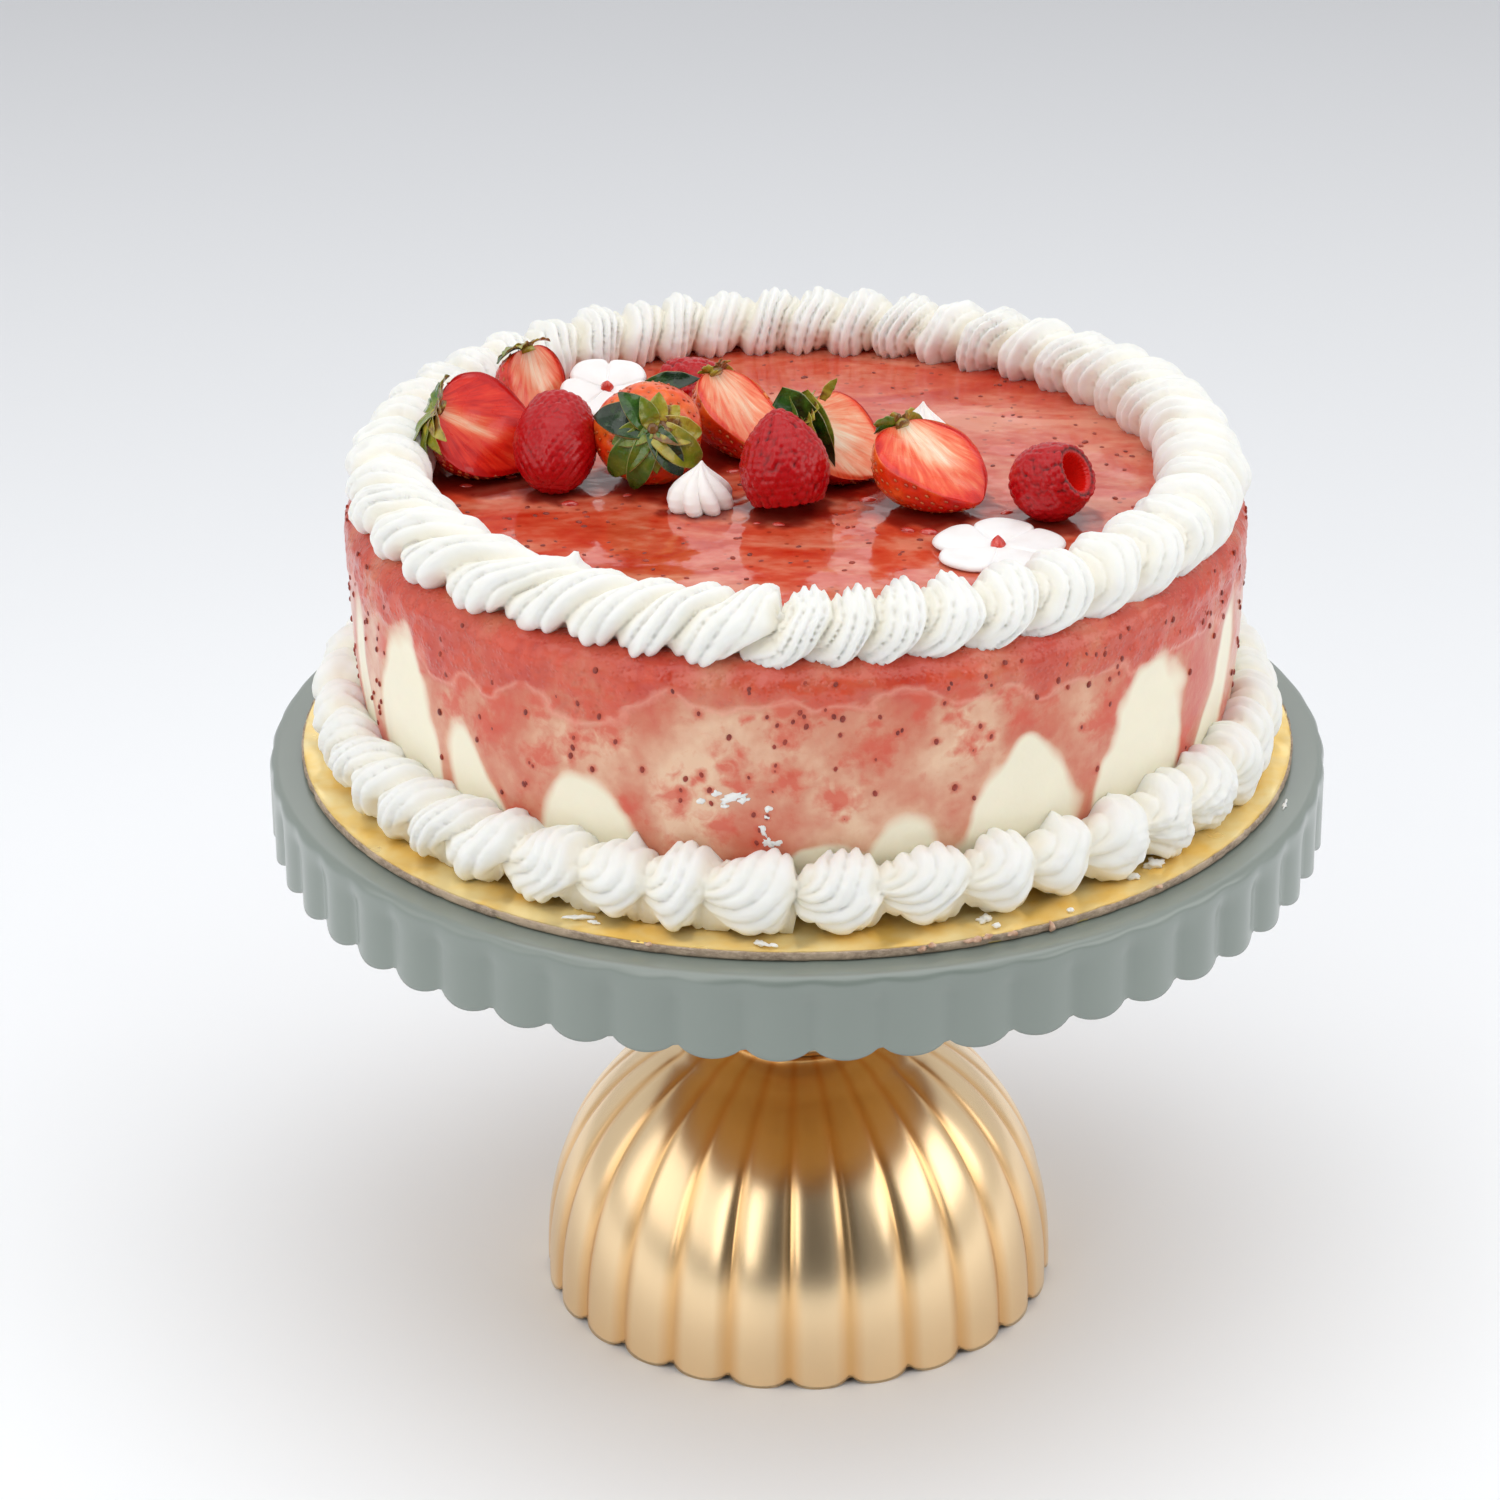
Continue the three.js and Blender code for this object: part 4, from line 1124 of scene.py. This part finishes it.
def leafShape(path, normals, width, tone, cup):  # a thin pointed leaf, or without normals a stubby stalk
    around = stepsRound(14)
    if normals is None:
        along = unitOf(path[-1] - path[0])
        side = unitOf(np.cross(along, [0.3, 0.5, 0.8]))
        up = np.cross(along, side)
        shares = np.array([1.0, 0.8, 0.42])
        ring = side * np.cos(around)[:, None] + up * np.sin(around)[:, None]
        points = path[:, None, :] + ring[None] * (width * shares)[:, None, None]
        edge = np.zeros(points.shape[:2])
        tones = np.array([tone, tone, tone * 0.3 + 1.0])[:, None] + edge
        return points, edge, tones
    share = np.linspace(0, 1, 26)
    base = np.linspace(0, 1, len(path))
    line = np.stack([np.interp(share, base, path[:, axis]) for axis in range(3)], -1)
    up = np.stack([np.interp(share, base, normals[:, axis]) for axis in range(3)], -1)
    ahead = unitOf(np.gradient(line, axis=0))
    side = unitOf(np.cross(ahead, up))
    up = np.cross(side, ahead)
    spread = width / 2 * np.sin(math.pi * (0.2 + 0.8 * share ** 1.1)) ** 0.85 + 0.05
    across = np.cos(around)
    wide = spread[:, None] * across
    thick = 0.30 * np.sin(around) * (0.4 + 0.6 * np.sin(math.pi * np.clip(share, 0.05, 0.95)))[:, None]
    fold = cup * spread[:, None] * np.abs(across) ** 1.5
    fold = fold + 0.22 * np.sin(share * 19 + width)[:, None] * np.abs(across) ** 2
    points = line[:, None, :] + side[:, None, :] * wide[..., None]
    points = points + up[:, None, :] * (thick + fold)[..., None]
    # how far across the leaf each point lies; the finish paints a pale highlight along the edge from it
    edge = np.abs(across) + 0 * spread[:, None]
    tones = tone + 0.25 * (1 - share[:, None]) + 0 * edge
    return points, edge, tones


def makeLeaves(leafParts, finish):
    pointLists, faceLists, edges, tones = [], [], [], []
    start = 0
    for path, normals, width, tone, cup in leafParts:
        points, edge, tonesHere = leafShape(path, normals, width, tone, cup)
        rows, sides = points.shape[:2]
        pointLists += [points.reshape(-1, 3), np.stack([points[0].mean(0), points[-1].mean(0)])]
        faceLists.append([faces + start for faces in closedFaces(rows, sides)])
        edges += [edge.ravel(), [0, 0]]
        tones += [tonesHere.ravel(), tonesHere[[0, -1], 0]]
        start += rows * sides + 2
    mesh = meshOf("leaves", np.concatenate(pointLists), *(np.concatenate(faces) for faces in zip(*faceLists)))
    addValues(mesh, edge=np.concatenate(edges), tone=np.concatenate(tones))
    addPiece("fruit_leaves", mesh, finish, "leaf")


def rayNoise(finish, aroundCore, outward, detail):  # streaks that run out from the fruit's core
    ray = sumOf(finish, "MULTIPLY", given(finish, "ray"), aroundCore)
    reach = sumOf(finish, "MULTIPLY", given(finish, "reach"), outward)
    place = addNode(finish, "ShaderNodeCombineXYZ", {"X": ray, "Y": reach}).outputs[0]
    settings = {"Vector": place, "Scale": 1.0, "Detail": detail}
    return addNode(finish, "ShaderNodeTexNoise", settings).outputs["Fac"]


def fruitFinish():
    finish = newFinish("strawberryFlesh", shade(210, 50, 36), 0.3, coat=0.35, coatRoughness=0.04, gloss=0.35,
                       glow=0.15, glowScale=0.002, glowReach=(1.0, 0.35, 0.2))
    ripe, cut, pale, dent = (given(finish, key) for key in ("ripe", "cut", "pale", "dent"))
    cloud = grain(finish, 7, 3)
    streak, fine = rayNoise(finish, 9.0, 0.8, 2.5), rayNoise(finish, 34.0, 1.6, 2.0)
    skin = rampOf(finish, stirred(finish, ripe, cloud, 0.5), (0.0, shade(250, 176, 92)),
                  (0.28, shade(246, 120, 40)), (0.52, shade(232, 62, 18)), (0.78, shade(212, 22, 10)),
                  (1.0, shade(170, 8, 8)))
    # the skin is painted darker in the seed dimples: painted shade
    skin = blendOf(finish, sumOf(finish, "MULTIPLY", dent, 0.35), skin, shade(150, 30, 10))
    value = stirred(finish, stirred(finish, pale, streak, 0.7), fine, 0.34)
    flesh = rampOf(finish, value, (0.02, shade(196, 14, 8)), (0.20, shade(228, 44, 22)),
                   (0.42, shade(240, 92, 54)), (0.62, shade(246, 148, 108)), (0.82, shade(250, 198, 164)),
                   (1.0, shade(252, 230, 204)))
    drive(finish, "Base Color", blendOf(finish, cut, skin, flesh))
    drive(finish, "Roughness", rampOf(finish, cloud, (0.3, 0.2), (0.7, 0.36)))
    addBump(finish, sumOf(finish, "ADD", sumOf(finish, "MULTIPLY", fine, cut), cloud), 0.35, 0.3)
    return finish


def leafFinish():
    finish = newFinish("glazedLeaf", shade(70, 96, 28), 0.3, coat=0.6, coatRoughness=0.04, gloss=0.3,
                       glow=0.08, glowScale=0.001)
    cloud = grain(finish, 4, 3)
    tone = stirred(finish, given(finish, "tone"), cloud, 0.7)
    body = rampOf(finish, tone, (0.0, shade(16, 42, 16)), (0.3, shade(56, 104, 22)),
                  (0.6, shade(120, 134, 34)), (0.9, shade(180, 164, 56)), (1.0, shade(120, 80, 30)))
    # a pale rim painted along each leaf's edge: a painted highlight
    pale = rampOf(finish, given(finish, "edge"), (0.93, 0.0), (1.0, 0.55))
    drive(finish, "Base Color", blendOf(finish, pale, body, shade(214, 196, 130)))
    drive(finish, "Roughness", rampOf(finish, cloud, (0.3, 0.16), (0.7, 0.32)))
    addBump(finish, grain(finish, 2.2, 3, distortion=0.5), 0.8, 0.5)
    return finish


def seedFinish():
    pip = strawberryLook["seed"]
    finish = newFinish("strawberrySeed", pip, 0.35, coat=0.4, coatRoughness=0.08)
    mottle(finish, grain(finish, 6, 2), (shade(176, 64, 28), pip), (0.25, 0.4), at=(0.35, 0.7))
    addBump(finish, grain(finish, 0.5, 2), 0.2, 0.1)
    return finish


# leaves that stand away from their fruit: path, up direction, width, tone, cup
looseLeaves = [
    ([(-45, 16, 295.2), (-40, 16.5, 296.4), (-35, 17, 297), (-29, 17.5, 297.4)], (0.1, -0.75, 0.6),
     6.5, -0.1, 0.25),
    ([(-5.5, 0, 298.5), (0, -1, 295.5), (5, -2.5, 289), (9, -4, 281), (11.5, -5, 273)], (-0.4, -0.75, 0.5),
     10, -0.05, 0.35),
    ([(1.5, 1, 299), (5, -0.5, 293), (8.5, -2, 286), (11, -3, 278)], (-0.1, -0.8, 0.55), 7.5, 0.5, 0.3),
    ([(-3, 1, 297.5), (-1, -2, 291), (2, -4, 284), (4, -5, 278)], (-0.6, -0.7, 0.3), 7, 0.25, 0.3),
    ([(8, 3, 296), (10, 3, 300), (12.5, 3, 303)], (0.2, -1, 0), 3.2, 0.7, 0.2),
]


def makeStrawberries():
    finish = fruitFinish()
    seedParts, leafParts = [], []
    for name, fruit in strawberries.items():
        makeStrawberry(name, fruit, finish, seedParts, leafParts)
    for path, up, width, tone, cup in looseLeaves:
        leafParts.append((np.array(path, float), np.array([up] * len(path), float), width, tone, cup))
    makeLeaves(leafParts, leafFinish())
    points, quads, caps = blobsOf(*(np.concatenate(parts) for parts in zip(*seedParts)), 4, 7)
    addPiece("strawberry_seeds", meshOf("seeds", points, quads, caps), seedFinish(), "strawberry")


makeStrawberries()
print("strawberries made")


# small red berries built of beads, each hollow where its stem was

berryLook = {"rows": 84, "columns": 120, "beadSize": 0.66, "beadRelief": 0.7}
berries = {
    "berry_left": {"place": (-72.4, -0.5), "stem": (0.1, 0.8, 0.5), "face": (0, 0, 1), "size": (28, 24.5),
                   "bead": 2.45, "long": 1.12, "jitter": 0.06, "seed": 91},
    "berry_back": {"place": (-30, 51.5), "stem": (-0.85, 0.4, 0.1), "face": (0, 0, 1), "size": (22, 21),
                   "bead": 2.7, "long": 1.0, "jitter": 0.14, "seed": 92},
    "berry_front": {"place": (-4, -17), "stem": (0.1, -0.25, -0.95), "face": (0, 0, 1), "size": (26, 27),
                    "bead": 2.9, "long": 1.0, "jitter": 0.09, "seed": 93, "pointed": True},
    "berry_open": {"place": (74.5, -27), "stem": (0.74, -0.44, 0.5), "face": (1, 0.2, 0.1), "size": (21, 23),
                   "bead": 2.3, "long": 1.15, "jitter": 0.12, "seed": 94},
}


def berryOutline(berry):  # radius and height from the tip, over the skin and into the hollow
    length, width = berry["size"]
    top = length / 2
    share = np.linspace(0, 1, 120)
    radius = width / 2 * np.sin(math.pi * (0.07 + 0.7 * share ** 0.8)) ** 0.7
    if berry.get("pointed"):
        radius = width / 2 * np.sin(math.pi * (0.045 + 0.65 * share ** 0.88)) ** 0.9
    tip = [(0, -top - 0.6), (radius[0] * 0.5, -top - 0.5), (radius[0] * 0.85, -top - 0.2)]
    lip = [(0.95, top + 0.9), (0.84, top + 1.2), (0.71, top + 0.8), (0.62, top - 0.4), (0.56, top - 3),
           (0.45, top - length * 0.32), (0.25, top - length * 0.5), (0, top - length * 0.54)]
    lip = [(radius[-1] * part, level) for part, level in lip]
    outline = np.array(tip + list(zip(radius, (share - 0.5) * length)) + lip)
    walked = np.concatenate([[0], np.cumsum(np.hypot(*np.diff(outline, axis=0).T))])
    return outline[:, 0], outline[:, 1], walked, walked[len(tip) + len(share) + 1]


def beadCentres(berry, radius, height, walked, outside, turn, uneven, dice):  # rows of beads round the skin
    pitch, jitter = berry["bead"], berry["jitter"]
    centres = []
    level = 0.5 * pitch
    while level < outside - 0.2 * pitch:
        ringRadius = np.interp(level, walked, radius)
        count = max(3, round(fullTurn * ringRadius / (pitch * berry["long"])))
        turns = (np.arange(count) + 0.5 * (len(centres) % 2)) / count * fullTurn
        turns = turns + dice.normal(0, jitter * pitch / max(ringRadius, 2), count)
        levels = level + dice.normal(0, jitter * pitch * 0.8, count)
        out = np.interp(levels, walked, radius) * np.interp(turns % fullTurn, turn, uneven)
        centres.append(ringOf(out, np.interp(levels, walked, height), turns))
        level += pitch * 0.86
    return np.concatenate(centres)


def beadDomes(points, centres, sizes, stretch):  # how high the nearest bead stands over each point
    near = np.zeros(len(points), np.float32)
    batch = 4000
    for start in range(0, len(points), batch):
        apart = points[start:start + batch, None, :] - centres[None].astype(np.float32)
        distance = np.sqrt((apart[..., 0] ** 2 + apart[..., 1] ** 2) / stretch ** 2 + apart[..., 2] ** 2)
        near[start:start + batch] = (sizes * np.sqrt(np.clip(1 - (distance / sizes) ** 2, 0, 1))).max(1)
    return near


def makeBerry(name, berry, finish):
    look = berryLook
    dice = np.random.default_rng(berry["seed"])
    radius, height, walked, outside = berryOutline(berry)
    walk = np.linspace(0.12, walked[-1] - 0.15, look["rows"])
    r, z = np.interp(walk, walked, radius), np.interp(walk, walked, height)
    slope = unitOf(np.stack([np.gradient(r, walk), np.gradient(z, walk)], -1))
    turn = stepsRound(look["columns"])
    uneven = unevenOf(turn, dice, 0.03)
    base = ringOf(r[:, None] * uneven, z[:, None], turn)
    normal = ringOf(slope[:, 1:2], -slope[:, 0:1], turn)
    pitch = berry["bead"]
    centres = beadCentres(berry, radius, height, walked, outside, turn, uneven, dice)
    sizes = pitch * look["beadSize"] * dice.uniform(0.92, 1.1, len(centres))
    near = beadDomes(base.reshape(-1, 3).astype(np.float32), centres, sizes, berry["long"])
    near = near.reshape(base.shape[:2])
    walk = walk[:, None]
    onSkin = 1 - ease(outside - 0.3, outside + 1.6, walk)
    folds = 0.30 * np.abs(np.sin(turn * 13 + 0.6 * np.sin(turn * 3)))
    folds = folds * ease(outside - 0.5, outside + 1.5, walk) * (1 - ease(outside + 3.0, outside + 6.0, walk))
    relief = (near - pitch * 0.46) * look["beadRelief"] * onSkin - folds
    points = withEnds([(base + normal * relief[..., None]).reshape(-1, 3)], height[0], height[-1])
    turned = points @ turnedTo(berry["stem"], berry["face"]).T
    turned += [*berry["place"], cakeTop - turned[:, 2].min()]
    mesh = closedMesh(name, turned, look["columns"])
    # crease marks the gaps between beads and the hollow, which the finish paints darker as shade
    crease = 1 - np.clip(near / (pitch * 0.55), 0, 1) * onSkin - (1 - onSkin) * 0.7
    inside = ease(outside, outside + 2.5, walk) + 0 * turn
    addValues(mesh, crease=np.append(crease, [0, 0.5]), inside=np.append(inside, [0, 1]))
    addPiece(name + "_fruit", mesh, finish, "red_berry", name)


def berryFinish():
    finish = newFinish("redBerry", shade(176, 20, 30), 0.3, coat=0.12, coatRoughness=0.05, gloss=0.28,
                       glow=0.06, glowScale=0.002, glowReach=(1.0, 0.25, 0.2))
    cloud = grain(finish, 8, 2)
    # the skin is painted a deeper, darker red between the beads: painted shade in the creases
    crease = stirred(finish, given(finish, "crease"), cloud, 0.5)
    body = rampOf(finish, crease, (0.1, shade(180, 6, 16)), (0.45, shade(148, 2, 10)), (0.9, shade(84, 0, 4)))
    drive(finish, "Base Color", blendOf(finish, given(finish, "inside"), body, shade(216, 24, 14)))
    drive(finish, "Roughness", rampOf(finish, cloud, (0.3, 0.2), (0.7, 0.32)))
    addBump(finish, grain(finish, 1.0, 2), 0.12, 0.1)
    return finish


redBerry = berryFinish()
for berryName, berrySpec in berries.items():
    makeBerry(berryName, berrySpec, redBerry)
print("berries made")


# meringue kisses and sugar flowers

kisses = {
    "meringue_front": {"place": (-28.6, -17), "width": 20.5, "height": 15, "ridges": 8, "turn": 0.2,
                       "lean": (0.6, -0.2)},
    "meringue_back": {"place": (38.5, 28), "width": 20, "height": 16, "ridges": 7, "turn": 0.5,
                      "lean": (0.5, 0.2)},
}


def makeKiss(name, kiss, finish):
    around = kiss["ridges"] * 24
    turn = stepsRound(around)
    share = np.linspace(0, 1, 56)[:, None]
    outline = np.interp(share, [0, 0.05, 0.14, 0.3, 0.45, 0.6, 0.72, 0.82, 0.9, 0.96, 1],
                        [0.86, 0.96, 1.0, 0.97, 0.84, 0.63, 0.43, 0.26, 0.14, 0.07, 0.03]) * kiss["width"] / 2
    twisted = turn[None, :] + 0.55 * share + kiss["turn"]
    lobe = np.abs(np.cos(twisted * kiss["ridges"] / 2)) ** 0.8
    deep = 0.33 * (1 - 0.35 * share)
    radius = outline * (1 - deep * (1 - lobe)) * (1 + 0.03 * np.sin(2 * turn + 1))
    level = kiss["height"] * share + 0.5 * (1 - lobe) * ease(0.16, 0.0, share)
    lean = np.array([*kiss["lean"], 0.0])
    foot = np.array([*kiss["place"], cakeTop + 0.1])
    points = ringOf(radius, level, turn) + lean * share[..., None] ** 2.4 + foot
    ends = [foot, foot + lean + [0, 0, kiss["height"] + 0.2]]
    mesh = closedMesh(name, np.concatenate([points.reshape(-1, 3), ends]), around)
    addPiece(name + "_kiss", mesh, finish, "meringue", name)


def whiteFinish(name, low, high, roughness, glow):
    finish = newFinish(name, high, roughness, glow=glow, glowScale=0.003, glowReach=(1.0, 0.85, 0.7))
    mottle(finish, grain(finish, 6, 3), (low, high), (roughness - 0.06, roughness + 0.06))
    addBump(finish, grain(finish, 1.4, 3), 0.15, 0.1)
    return finish


flowers = {
    "flower_front": {"place": (59, -51), "radius": 19.5, "up": (0, -0.03, 1), "rest": 0.3, "turn": 2.05,
                     "bead": 2.35},
    "flower_back": {"place": (-58.5, 49.5), "radius": 14.6, "up": (0.05, -0.36, 0.93), "rest": 7.6,
                    "turn": 0.3, "bead": 2.1},
}
flowerLook = {"around": 260, "thick": 1.6, "beadRows": 14, "beadSides": 28}


def makeFlower(name, flower, finish, beads):
    look = flowerLook
    thick = look["thick"]
    turn = stepsRound(look["around"])
    petal = np.abs(np.sin(2.5 * (turn - flower["turn"])))
    edge = flower["radius"] * (0.75 + 0.25 * petal ** 0.45)
    edge = edge * (1 + 0.03 * np.sin(turn * 2 + 1) + 0.012 * np.sin(turn * 9))
    share = np.concatenate([np.linspace(0.06, 0.9, 22), np.linspace(0.92, 1, 8)])[:, None]
    groove = np.exp(-(petal / 0.13) ** 2)
    top = thick * (1 - np.clip((share - 0.88) / 0.12, 0, 1) ** 2) ** 0.6
    cupped = 0.9 * share ** 2 + 0.30 * np.sin(share * 3.1) * petal - 0.55 * groove * ease(0.05, 0.4, share)
    upper = ringOf(share * edge, top + cupped + 0.12 * np.sin(share * 9 + turn * 3), turn)
    lowShare = np.array([0.985, 0.93, 0.6, 0.15])[:, None]
    lower = ringOf(lowShare * edge, 0.9 * lowShare ** 2 - 0.3, turn)
    points = withEnds([upper.reshape(-1, 3), lower.reshape(-1, 3)], thick, -0.3)
    axes = turnedTo(flower["up"], (1, 0, 0))
    turned = points @ axes.T
    offset = np.array([*flower["place"], cakeTop + flower["rest"] - 0.3 - turned[:, 2].min()])
    mesh = closedMesh(name, turned + offset, look["around"], flip=True)
    addPiece(name + "_petals", mesh, finish, "sugar_paste", name)
    bend = np.linspace(0, 1, look["beadRows"])
    profile = flower["bead"] * np.cos(bend * math.pi / 2) ** 0.9 * (1 - 0.25 * bend)
    sides = stepsRound(look["beadSides"])
    bead = ringOf(profile[:, None] * (1 + 0.07 * np.cos(5 * sides)),
                  (thick - 0.3 + bend ** 0.85 * flower["bead"] * 1.5)[:, None], sides)
    beads.append(bead.reshape(-1, 3) @ axes.T + offset)


def makeBeads(beads):  # the two beads as one piece, each with a flat underside
    rows, sides = flowerLook["beadRows"], flowerLook["beadSides"]
    starts = [index * rows * sides for index in range(len(beads))]
    walls = np.concatenate([gridFaces(rows, sides) + start for start in starts])
    bases = np.concatenate([np.arange(sides)[None, ::-1] + start for start in starts])
    addPiece("flower_beads", meshOf("beads", np.concatenate(beads), walls, bases), beadFinish(), "glaze")


def beadFinish():
    finish = newFinish("redBead", shade(206, 44, 34), 0.2, coat=0.5, coatRoughness=0.06, glow=0.2,
                       glowScale=0.002)
    cloud = grain(finish, 2, 2)
    mottle(finish, cloud, (shade(190, 30, 26), shade(222, 70, 52)), (0.16, 0.3))
    addBump(finish, cloud, 0.3, 0.2)
    return finish


meringue = whiteFinish("meringueWhite", shade(250, 250, 246), shade(253, 253, 251), 0.6, 0.25)
sugarPaste = whiteFinish("sugarPaste", shade(244, 243, 241), shade(250, 250, 249), 0.42, 0.2)
for kissName, kissSpec in kisses.items():
    makeKiss(kissName, kissSpec, meringue)
beadPoints = []
for flowerName, flowerSpec in flowers.items():
    makeFlower(flowerName, flowerSpec, sugarPaste, beadPoints)
makeBeads(beadPoints)
print("meringues and flowers made")


# floor, camera and light

cameraLook = {
    "back": 1388.585, "up": 833.273, "turn": -0.01041, "tilt": 0.43892, "roll": -0.00744, "lens": 118.933,
    "sensor": 36, "nearest": 0.05,
}


def placed(data, place, side, up, back):  # a camera or light at a place, with its own three axes
    thing = bpy.data.objects.new(data.name, data)
    bpy.context.scene.collection.objects.link(thing)
    pose = np.eye(4)
    pose[:3, :3] = np.stack([side, up, back], 1)
    pose[:3, 3] = place
    thing.matrix_world = Matrix(pose.tolist())
    return thing


def addCamera():
    look = cameraLook
    turned, tilt, roll = look["turn"], look["tilt"], look["roll"]
    forward = np.array([math.sin(turned), math.cos(turned), 0]) * math.cos(tilt) - [0, 0, math.sin(tilt)]
    right = np.cross(forward, [0, 0, 1])
    right /= np.linalg.norm(right)
    up = np.cross(right, forward)
    side, high = math.cos(roll) * right + math.sin(roll) * up, -math.sin(roll) * right + math.cos(roll) * up
    data = bpy.data.cameras.new("camera")
    data.lens = look["lens"]
    data.sensor_width = look["sensor"]
    data.clip_start = look["nearest"]
    data.dof.use_dof = False
    bpy.context.scene.camera = placed(data, [0, -look["back"] * mm, look["up"] * mm], side, high, -forward)


def addLight(name, place, size, power, colour, target):
    data = bpy.data.lights.new(name, "AREA")
    data.shape = "RECTANGLE"
    data.size, data.size_y = size
    data.energy = power
    data.color = colour
    back = unitOf(np.array(place) - np.array(target))
    side = unitOf(np.cross([0, 0, 1], back))
    placed(data, place, side, np.cross(back, side), back).visible_camera = False


stageLook = {
    "room": [(0.10, 0.13), (0.75, 1.0)], "roomStrength": 0.66, "roomSides": 0.7, "floorHalf": 6.0,
    # name, place, size, power, colour, what it points at
    "lights": [
        ("leftLight", (-1.5, -0.6, 0.85), (2.0, 1.0), 5.3, (1, 0.985, 0.96), (0, 0, 0.15)),
        ("rightLight", (1.6, -0.45, 0.95), (1.8, 0.9), 8.0, (1, 0.985, 0.965), (0, 0, 0.15)),
        ("topLight", (0.0, -0.6, 3.6), (4.8, 4.2), 83, (1, 1, 1), (0, 0, 0.22)),
        ("frontLight", (-0.9, -1.7, 1.15), (0.6, 1.7), 6.5, (1, 0.99, 0.97), (0, 0, 0.1)),
        ("backLight", (0.0, 2.3, 1.75), (2.6, 0.9), 4.1, (0.97, 0.98, 1), (0, 0, 0.27)),
    ],
}


def addFloor():
    half = stageLook["floorHalf"]
    floorMesh = bpy.data.meshes.new("floor")
    corners = [(-half, -half, 0), (half, -half, 0), (half, half, 0), (-half, half, 0)]
    floorMesh.from_pydata(corners, [], [(0, 1, 2, 3)])
    floor = bpy.data.objects.new("floor", floorMesh)
    bpy.context.scene.collection.objects.link(floor)
    paint = newFinish("floorPaint", shade(236, 236, 239), 0.6)
    place = addNode(paint, "ShaderNodeTexCoord").outputs["Object"]
    # the floor is painted darker from front to back: painted shade of light falling off with distance
    depth = addNode(paint, "ShaderNodeSeparateXYZ", {0: place}).outputs[1]
    depth = addNode(paint, "ShaderNodeMapRange", {"Value": depth, "From Min": -0.7, "From Max": 2.4})
    paintedFalloff = rampOf(paint, depth.outputs[0], (0.0, shade(250, 253, 255)), (0.28, shade(246, 248, 251)),
                  (1.0, shade(164, 164, 168)))
    patches = rampOf(paint, grain(paint, 300, 2), (0.3, 0.0), (0.7, 0.04))
    drive(paint, "Base Color", blendOf(paint, patches, paintedFalloff, shade(225, 225, 230)))
    floorMesh.materials.append(paint)


def addRoom():  # bright behind and at the sides, and dimmer on the viewer's side
    look = stageLook
    room = bpy.data.worlds.new("studio")
    bpy.context.scene.world = room
    room.use_nodes = True
    way = addNode(room, "ShaderNodeTexCoord").outputs["Generated"]
    split = addNode(room, "ShaderNodeSeparateXYZ", {0: way}).outputs
    aside = addNode(room, "ShaderNodeMath", {0: split["X"]}, operation="ABSOLUTE").outputs[0]
    toward = addNode(room, "ShaderNodeMath", {0: aside, 1: look["roomSides"], 2: split["Y"]},
                     operation="MULTIPLY_ADD").outputs[0]
    spread = addNode(room, "ShaderNodeMapRange", {"Value": toward, "From Min": -1.0}).outputs["Result"]
    greys = [(position, (grey * 0.98, grey * 0.99, grey)) for position, grey in look["room"]]
    background = room.node_tree.nodes["Background"].inputs
    room.node_tree.links.new(rampOf(room, spread, *greys), background["Color"])
    background["Strength"].default_value = look["roomStrength"]


addCamera()
addFloor()
addRoom()
for light in stageLook["lights"]:
    addLight(*light)
bpy.context.scene.view_settings.view_transform = "Standard"
bpy.context.scene.view_settings.look = "None"
bpy.context.scene.cycles.use_denoising = True
print("stage set")
